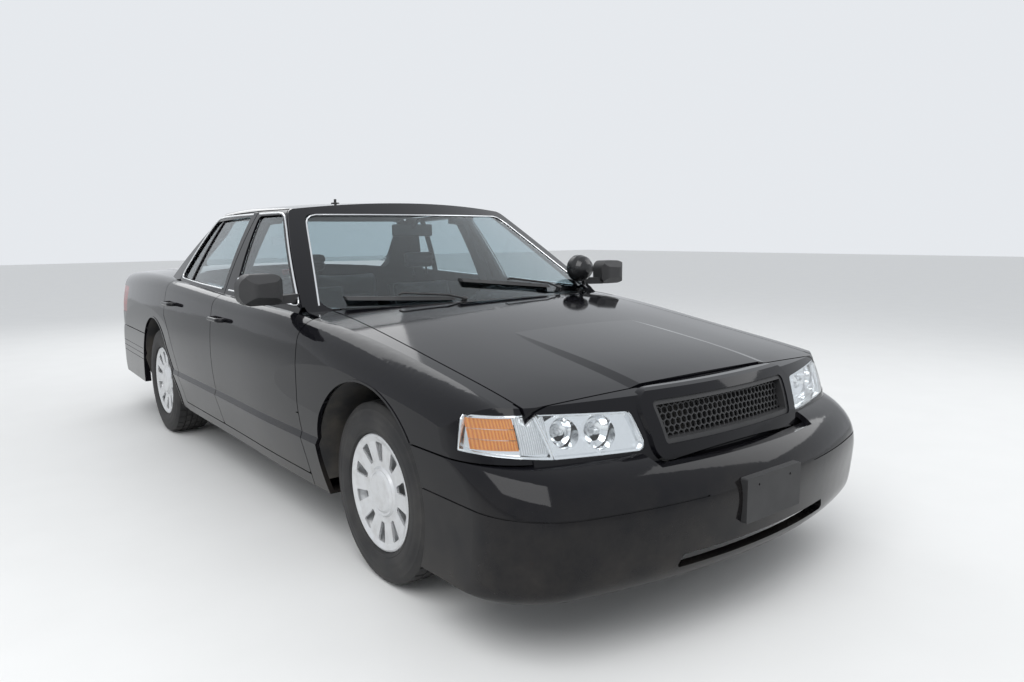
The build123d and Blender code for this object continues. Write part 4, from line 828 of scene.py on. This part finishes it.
def fitMirrorGlass():
    for side, word in ((1, "left"), (-1, "right")):
        low, high = sided(mirrorPlate["low"], side), sided(mirrorPlate["high"], side)
        plate = addBlock(f"mirrorGlass_{word}", low, high)
        bevelAll(plate, mirrorPlate["edge"], 2)
        settle(plate, f"front_door_{word}", extras["silvered"])


fitMirrorGlass()

# the stub on the roof: its place, and the foot's and the stud's height and radius
antenna = {
    "place": (-0.23, 0.08), "footHeight": 0.006, "footRadius": 0.024, "studHeight": 0.026, "studRadius": 0.0075,
}


def fitAntenna():
    above = Vector((*antenna["place"], 2.0))
    hit, place, normal, index = nodes["roof"].ray_cast(above, Vector((0, 0, -1)))
    up = Vector((0, 0, 1))
    foot = addRod("foot", place - up * 0.004, place + up * antenna["footHeight"], antenna["footRadius"], 40)
    bevelAll(foot, 0.004, 3)
    stud = addRod("stud", place, place + up * antenna["studHeight"], antenna["studRadius"])
    bevelAll(stud, 0.002, 2)
    settle(joinAll([foot, stud], "roofAntenna"), "car", extras["seal"])


fitAntenna()
print("small outside pieces ready")


# linings: a copy of a panel's inner faces, set off by a small gap and given a thickness
linings = {
    "cabinCarpet": {
        "node": "floor_pan", "finish": "carpet", "way": 1, "least": 0.2, "halfWidth": 0.76,
        "length": (-0.98, 0.90), "wall": 0.006,
    },
    "roofLining": {
        "node": "roof", "finish": "lining", "way": -1, "least": 0.5, "halfWidth": 0.56, "length": (-9, 9),
        "wall": 0.008,
    },
}
liningGap = 0.0012


def fitLinings():
    for name, row in linings.items():
        def inside(center, normal):
            front, rear = row["length"]
            across = abs(center.x) < row["halfWidth"] and front < center.y < rear
            return across and normal.z * row["way"] > row["least"]

        lining = meshCopy(row["node"], name, inside)
        slide(lining, (0, 0, liningGap * row["way"]))
        thicken(lining, row["wall"], 1.0)
        settle(lining, "car", extras[row["finish"]])


fitLinings()

# door cards on the left side, by door: each block's low and high corner
doorCards = {
    "front": (
        ((0.852, -0.860, 0.420), (0.866, -0.030, 0.960)), ((0.792, -0.700, 0.700), (0.854, -0.130, 0.745)),
        ((0.800, -0.600, 0.742), (0.815, -0.250, 0.790)), ((0.822, -0.760, 0.450), (0.854, -0.170, 0.560)),
    ),
    "rear": (
        ((0.852, 0.130, 0.420), (0.866, 0.740, 0.960)), ((0.792, 0.290, 0.700), (0.854, 0.640, 0.745)),
        ((0.800, 0.390, 0.742), (0.815, 0.520, 0.790)), ((0.822, 0.230, 0.450), (0.854, 0.600, 0.560)),
    ),
}
doorCardEdge = 0.006


def fitDoorCards():
    for end, blocks in doorCards.items():
        for side, word in ((1, "left"), (-1, "right")):
            pieces = [addBlock("block", sided(low, side), sided(high, side)) for low, high in blocks]
            for piece in pieces:
                bevelAll(piece, doorCardEdge, 3)
            settle(joinAll(pieces, f"doorCard_{end}_{word}"), f"{end}_door_{word}", extras["vinyl"])


fitDoorCards()

cabinMirror = {
    "head": ((-0.125, -0.405, 1.285), (0.125, -0.380, 1.350)),
    "headEdge": 0.010,
    "stem": ((0, -0.400, 1.330), (0, -0.455, 1.375)),
    "stemRadius": 0.008,
    "face": ((-0.118, -0.3805, 1.291), (0.118, -0.3785, 1.344)),
}


def fitCabinMirror():
    head = addBlock("head", *cabinMirror["head"])
    bevelAll(head, cabinMirror["headEdge"], 3)
    stem = addRod("stem", *cabinMirror["stem"], cabinMirror["stemRadius"])
    settle(joinAll([head, stem], "cabinMirror"), "car", extras["vinyl"])
    face = addBlock("cabinMirrorGlass", *cabinMirror["face"])
    settle(face, "car", extras["silvered"])


fitCabinMirror()
print("cabin lining ready")


# dashboard details: each block's low and high corner and its rounded edge
dashBlocks = {
    "binnacle": ((0.205, -0.830, 0.900), (0.545, -0.690, 0.985), 0.022, 4),
    "stack": ((-0.150, -0.760, 0.580), (0.130, -0.672, 0.880), 0.012, 3),
    "shelf": ((-0.790, -0.960, 0.922), (0.790, -0.780, 0.938), 0.007, 3),
    "glovebox": ((-0.690, -0.735, 0.640), (-0.250, -0.696, 0.790), 0.010, 3),
    "columnCover": ((0.320, -0.760, 0.690), (0.430, -0.640, 0.790), 0.018, 3),
}
dashDials = {
    "front": -0.722, "rear": -0.716, "z": 0.943,
    "dials": ((0.315, 0.02592), (0.400, 0.03168), (0.480, 0.0216)),
}
dashVents = {
    "places": ((-0.660, -0.712), (-0.090, -0.672), (0.070, -0.672), (0.690, -0.712)),
    "vanes": 5, "pitch": 0.009, "low": 0.838, "half": 0.045, "back": 0.010, "front": 0.004, "wall": 0.0035,
}


def fitDashboard():
    blocks = []
    for name, (low, high, edge, segments) in dashBlocks.items():
        block = addBlock(name, low, high)
        bevelAll(block, edge, segments)
        if name == "binnacle":
            # the binnacle's mouth, sunk behind a rim
            pickFaces(block, lambda center, normal: normal.y > 0.95 and abs(center.x - 0.375) < 0.05)
            bpy.ops.mesh.inset(thickness=0.012, depth=0)
            bpy.ops.mesh.extrude_region_shrink_fatten(TRANSFORM_OT_shrink_fatten={"value": -0.035})
            bpy.ops.object.mode_set(mode="OBJECT")
        blocks.append(block)
    settle(joinAll(blocks, "dashTop"), "car", extras["vinyl"])
    front, rear, z = dashDials["front"], dashDials["rear"], dashDials["z"]
    faces = [addRod("dial", (x, front, z), (x, rear, z), radius, 40) for x, radius in dashDials["dials"]]
    settle(joinAll(faces, "dials"), "car", extras["white"])
    vanes = []
    half = dashVents["half"]
    for x, y in dashVents["places"]:
        for row in range(dashVents["vanes"]):
            low = dashVents["low"] + row * dashVents["pitch"]
            high = low + dashVents["wall"]
            corner = (x + half, y + dashVents["front"], high)
            vanes.append(addBlock("vane", (x - half, y - dashVents["back"], low), corner))
    settle(joinAll(vanes, "ventVanes"), "car", extras["dial"])


fitDashboard()
print("dashboard ready")


# seats: rounded blocks that cloth pressure fills out, with sewn channels pressed in afterwards
padFill = {
    "edge": 0.030, "grid": 0.012, "pressure": 4.0, "stiffness": 18, "bending": 0.6, "frames": 20, "cap": 0.024,
    "fill": 0.7, "channelDepth": 0.009, "channelHalf": 0.010,
}


def padBlock(name, low, high, foot, lean):
    pad = addBlock(name, low, high)
    bevelAll(pad, padFill["edge"], 3)
    pad.location = foot
    pad.rotation_euler = (-lean, 0, 0)
    deselectAll()
    bpy.context.view_layer.objects.active = pad
    pad.select_set(True)
    bpy.ops.object.transform_apply(location=True, rotation=True, scale=True)
    return pad


def puff(pad):
    deselectAll()
    bpy.context.view_layer.objects.active = pad
    pad.select_set(True)
    remesh = pad.modifiers.new("grid", "REMESH")
    remesh.mode = "VOXEL"
    remesh.voxel_size = padFill["grid"]
    bpy.ops.object.modifier_apply(modifier=remesh.name)
    before = [vertex.co.copy() for vertex in pad.data.vertices]
    cloth = pad.modifiers.new("fill", "CLOTH")
    cloth.settings.quality = 4
    cloth.settings.tension_stiffness = padFill["stiffness"]
    cloth.settings.compression_stiffness = padFill["stiffness"]
    cloth.settings.bending_stiffness = padFill["bending"]
    cloth.settings.use_pressure = True
    cloth.settings.uniform_pressure_force = padFill["pressure"]
    cloth.settings.effector_weights.gravity = 0
    for number in range(1, padFill["frames"] + 1):
        bpy.context.scene.frame_set(number)
    bpy.ops.object.modifier_apply(modifier=cloth.name)
    for vertex, start in zip(pad.data.vertices, before):
        move = vertex.co - start
        if move.length > padFill["cap"]:
            vertex.co = start + move * (padFill["cap"] / move.length)
    bpy.context.scene.frame_set(1)
    subdivideAll(pad, 1)


def pressChannels(pad, places, axis):
    half = padFill["channelHalf"]
    normals = [vertex.normal.copy() for vertex in pad.data.vertices]
    for vertex, normal in zip(pad.data.vertices, normals):
        for place in places:
            away = abs(vertex.co[axis] - place)
            if away < half:
                vertex.co -= normal * padFill["channelDepth"] * (1 - away / half) ** 0.5


# each pad's low and high corner, foot, lean, and the axis and places of its channels
seatSide = 0.375
seatLean = 0.265
seatPads = {
    "seatCushion": ((-0.222, -0.512, 0.484), (0.222, 0.018, 0.542), (0, 0, 0), 0.0, 1, (-0.36, -0.20)),
    "seatBack": ((-0.220, 0.028, 0.030), (0.220, 0.098, 0.560), (0, -0.052, 0.490), seatLean, 2, (0.70, 0.86)),
    "headrest": ((-0.108, 0.136, 1.086), (0.108, 0.192, 1.186), (0, 0, 0), 0.0, 2, (1.136,)),
}
rearShift = -0.544
rearPads = {
    "rearCushion": ((0.012, 0.400, 0.466), (0.532, 0.860, 0.524), (0, 0, 0), 0.0, 1, (0.56, 0.70)),
    "rearBack": ((0.012, 0.022, 0.030), (0.532, 0.088, 0.550), (0, 0.840, 0.515), 0.272, 2, (0.72, 0.88)),
}
# a seat's frame, rails, headrest stems and back shell, measured from the seat's middle
seatFrame = {
    "frame": ((-0.19, -0.42, 0.330), (0.19, 0.03, 0.462)),
    "frameEdge": 0.012,
    "rail": ((-0.018, -0.46, 0.2885), (0.018, 0.06, 0.332)),
    "railPlaces": (-0.16, 0.16),
    "stem": ((0, 0.150, 1.040), (0, 0.163, 1.100)),
    "stemPlaces": (-0.05, 0.05),
    "stemRadius": 0.006,
    "shell": ((-0.215, 0.098, 0.040), (0.215, 0.108, 0.545)),
    "shellFoot": (-0.052, 0.490),
}


def fitPad(name, row, shift, node):
    low, high, foot, lean, axis, channels = row
    pad = padBlock(name, low, high, foot, lean)
    pad.location = shift
    puff(pad)
    pressChannels(pad, channels, axis)
    settle(pad, "car", finishes["seat_cloth"], 60)
    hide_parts(node)


def shifted(corners, x):
    return [Vector(corner) + Vector((x, 0, 0)) for corner in corners]


def fitSeatFrame(middle, word):
    frame = addBlock("frame", *shifted(seatFrame["frame"], middle))
    bevelAll(frame, seatFrame["frameEdge"], 3)
    rails = [addBlock("rail", *shifted(seatFrame["rail"], middle + x)) for x in seatFrame["railPlaces"]]
    stems = [addRod("stem", *shifted(seatFrame["stem"], middle + x), seatFrame["stemRadius"])
             for x in seatFrame["stemPlaces"]]
    shell = addBlock(f"seatBackShell{word}", *seatFrame["shell"])
    shell.location = (middle, *seatFrame["shellFoot"])
    shell.rotation_euler = (-seatLean, 0, 0)
    whole = joinAll([frame, *rails, *stems], f"seatFrame{word}")
    settle(whole, "car", extras["vinyl"])
    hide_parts("front_seats")
    settle(shell, "car", extras["vinyl"])


def fitSeats():
    for side, word in ((1, "Left"), (-1, "Right")):
        for name, row in seatPads.items():
            fitPad(name + word, row, (side * seatSide, 0, 0), "front_seats")
        for name, row in rearPads.items():
            fitPad(name + word, row, (0 if side > 0 else rearShift, 0, 0), "rear_seat")
        fitSeatFrame(side * seatSide, word)


fitSeats()
print("seats ready")


# the windscreen's outer surface, from its height and how far it is from the middle
screenShape = {"footY": -1.150, "footZ": 0.985, "rake": 1.6044, "bend": 3.150, "bow": 1.8907}


def onScreen(x, z, lift=0.0):
    bow = screenShape["bend"] - math.sqrt(screenShape["bend"] ** 2 - x ** 2)
    y = screenShape["footY"] + (z - screenShape["footZ"]) * screenShape["rake"] + bow * screenShape["bow"]
    return Vector((x, y - lift * 0.53, z + lift * 0.85))


# the moulding's left half, as (x, z)
screenEdge = (
    (0.8085, 0.990), (0.640, 1.3385), (0.6275, 1.362), (0.611, 1.382), (0.590, 1.395), (0.560, 1.4015),
)
screenBar = {"step": 0.04, "sink": 0.002, "radius": 0.0045}


def fitScreenMoulding():
    path = densely([(-x, z) for x, z in screenEdge] + list(screenEdge[::-1]), screenBar["step"])
    bar = addBar("screenMoulding", [onScreen(x, z, -screenBar["sink"]) for x, z in path], screenBar["radius"])
    settle(bar, "car", extras["bright"], angle=60)


fitScreenMoulding()

# wiper arms: the pivot, the knee and the end that holds the blade, as (x, z, lift from the glass)
wiperArms = {
    "wiperArmRight": (
        (-0.170, 0.990, 0.010), (-0.250, 0.996, 0.026), (-0.455, 1.0125, 0.026), (-0.470, 1.0135, 0.016)),
    "wiperArmLeft": (
        (0.500, 1.004, 0.010), (0.420, 1.018, 0.026), (0.175, 1.0525, 0.026), (0.160, 1.0540, 0.016)),
}
wiperCap = {"low": -0.012, "high": 0.018, "radius": 0.013, "edge": 0.003, "armRadius": 0.0055}


def fitWiperArms():
    for name, row in wiperArms.items():
        arm = addBar("arm", [onScreen(*place) for place in row], wiperCap["armRadius"])
        x, z = row[0][:2]
        low, high = onScreen(x, z, wiperCap["low"]), onScreen(x, z, wiperCap["high"])
        cap = addRod("cap", low, high, wiperCap["radius"], 28)
        bevelAll(cap, wiperCap["edge"], 3)
        settle(joinAll([arm, cap], name), "car", finishes["black_plastic"])


fitWiperArms()

# strips on the tail lamps, as their width and height on the tail
tailStrips = {
    "reverseLamp": {"width": (0.492, 0.640), "height": (0.726, 0.792), "finish": "frost"},
    "tailLampRib": {"width": (0.652, 0.656), "height": (0.722, 0.912), "finish": "seal"},
}
stripShape = {"lift": 0.0012, "wall": 0.0024, "facing": 0.6}
highBrakeLamp = {"low": (-0.110, 1.190, 1.0225), "high": (0.110, 1.250, 1.056), "edge": 0.006}


def fitTailDetails():
    for side, word in ((1, "Left"), (-1, "Right")):
        def backwards(center, normal):
            return center.x * side > 0 and normal.y > stripShape["facing"]

        for name, row in tailStrips.items():
            strip = skinPatch("tail_lamps", name + word, backwards, side, row["width"], row["height"],
                              (0, stripShape["lift"], 0), stripShape["wall"])
            settle(strip, "car", extras[row["finish"]])
    brake = addBlock("highBrakeLamp", highBrakeLamp["low"], highBrakeLamp["high"])
    bevelAll(brake, highBrakeLamp["edge"], 3)
    settle(brake, "car", finishes["red_lens"])


fitTailDetails()
print("screen, wiper and tail details ready")
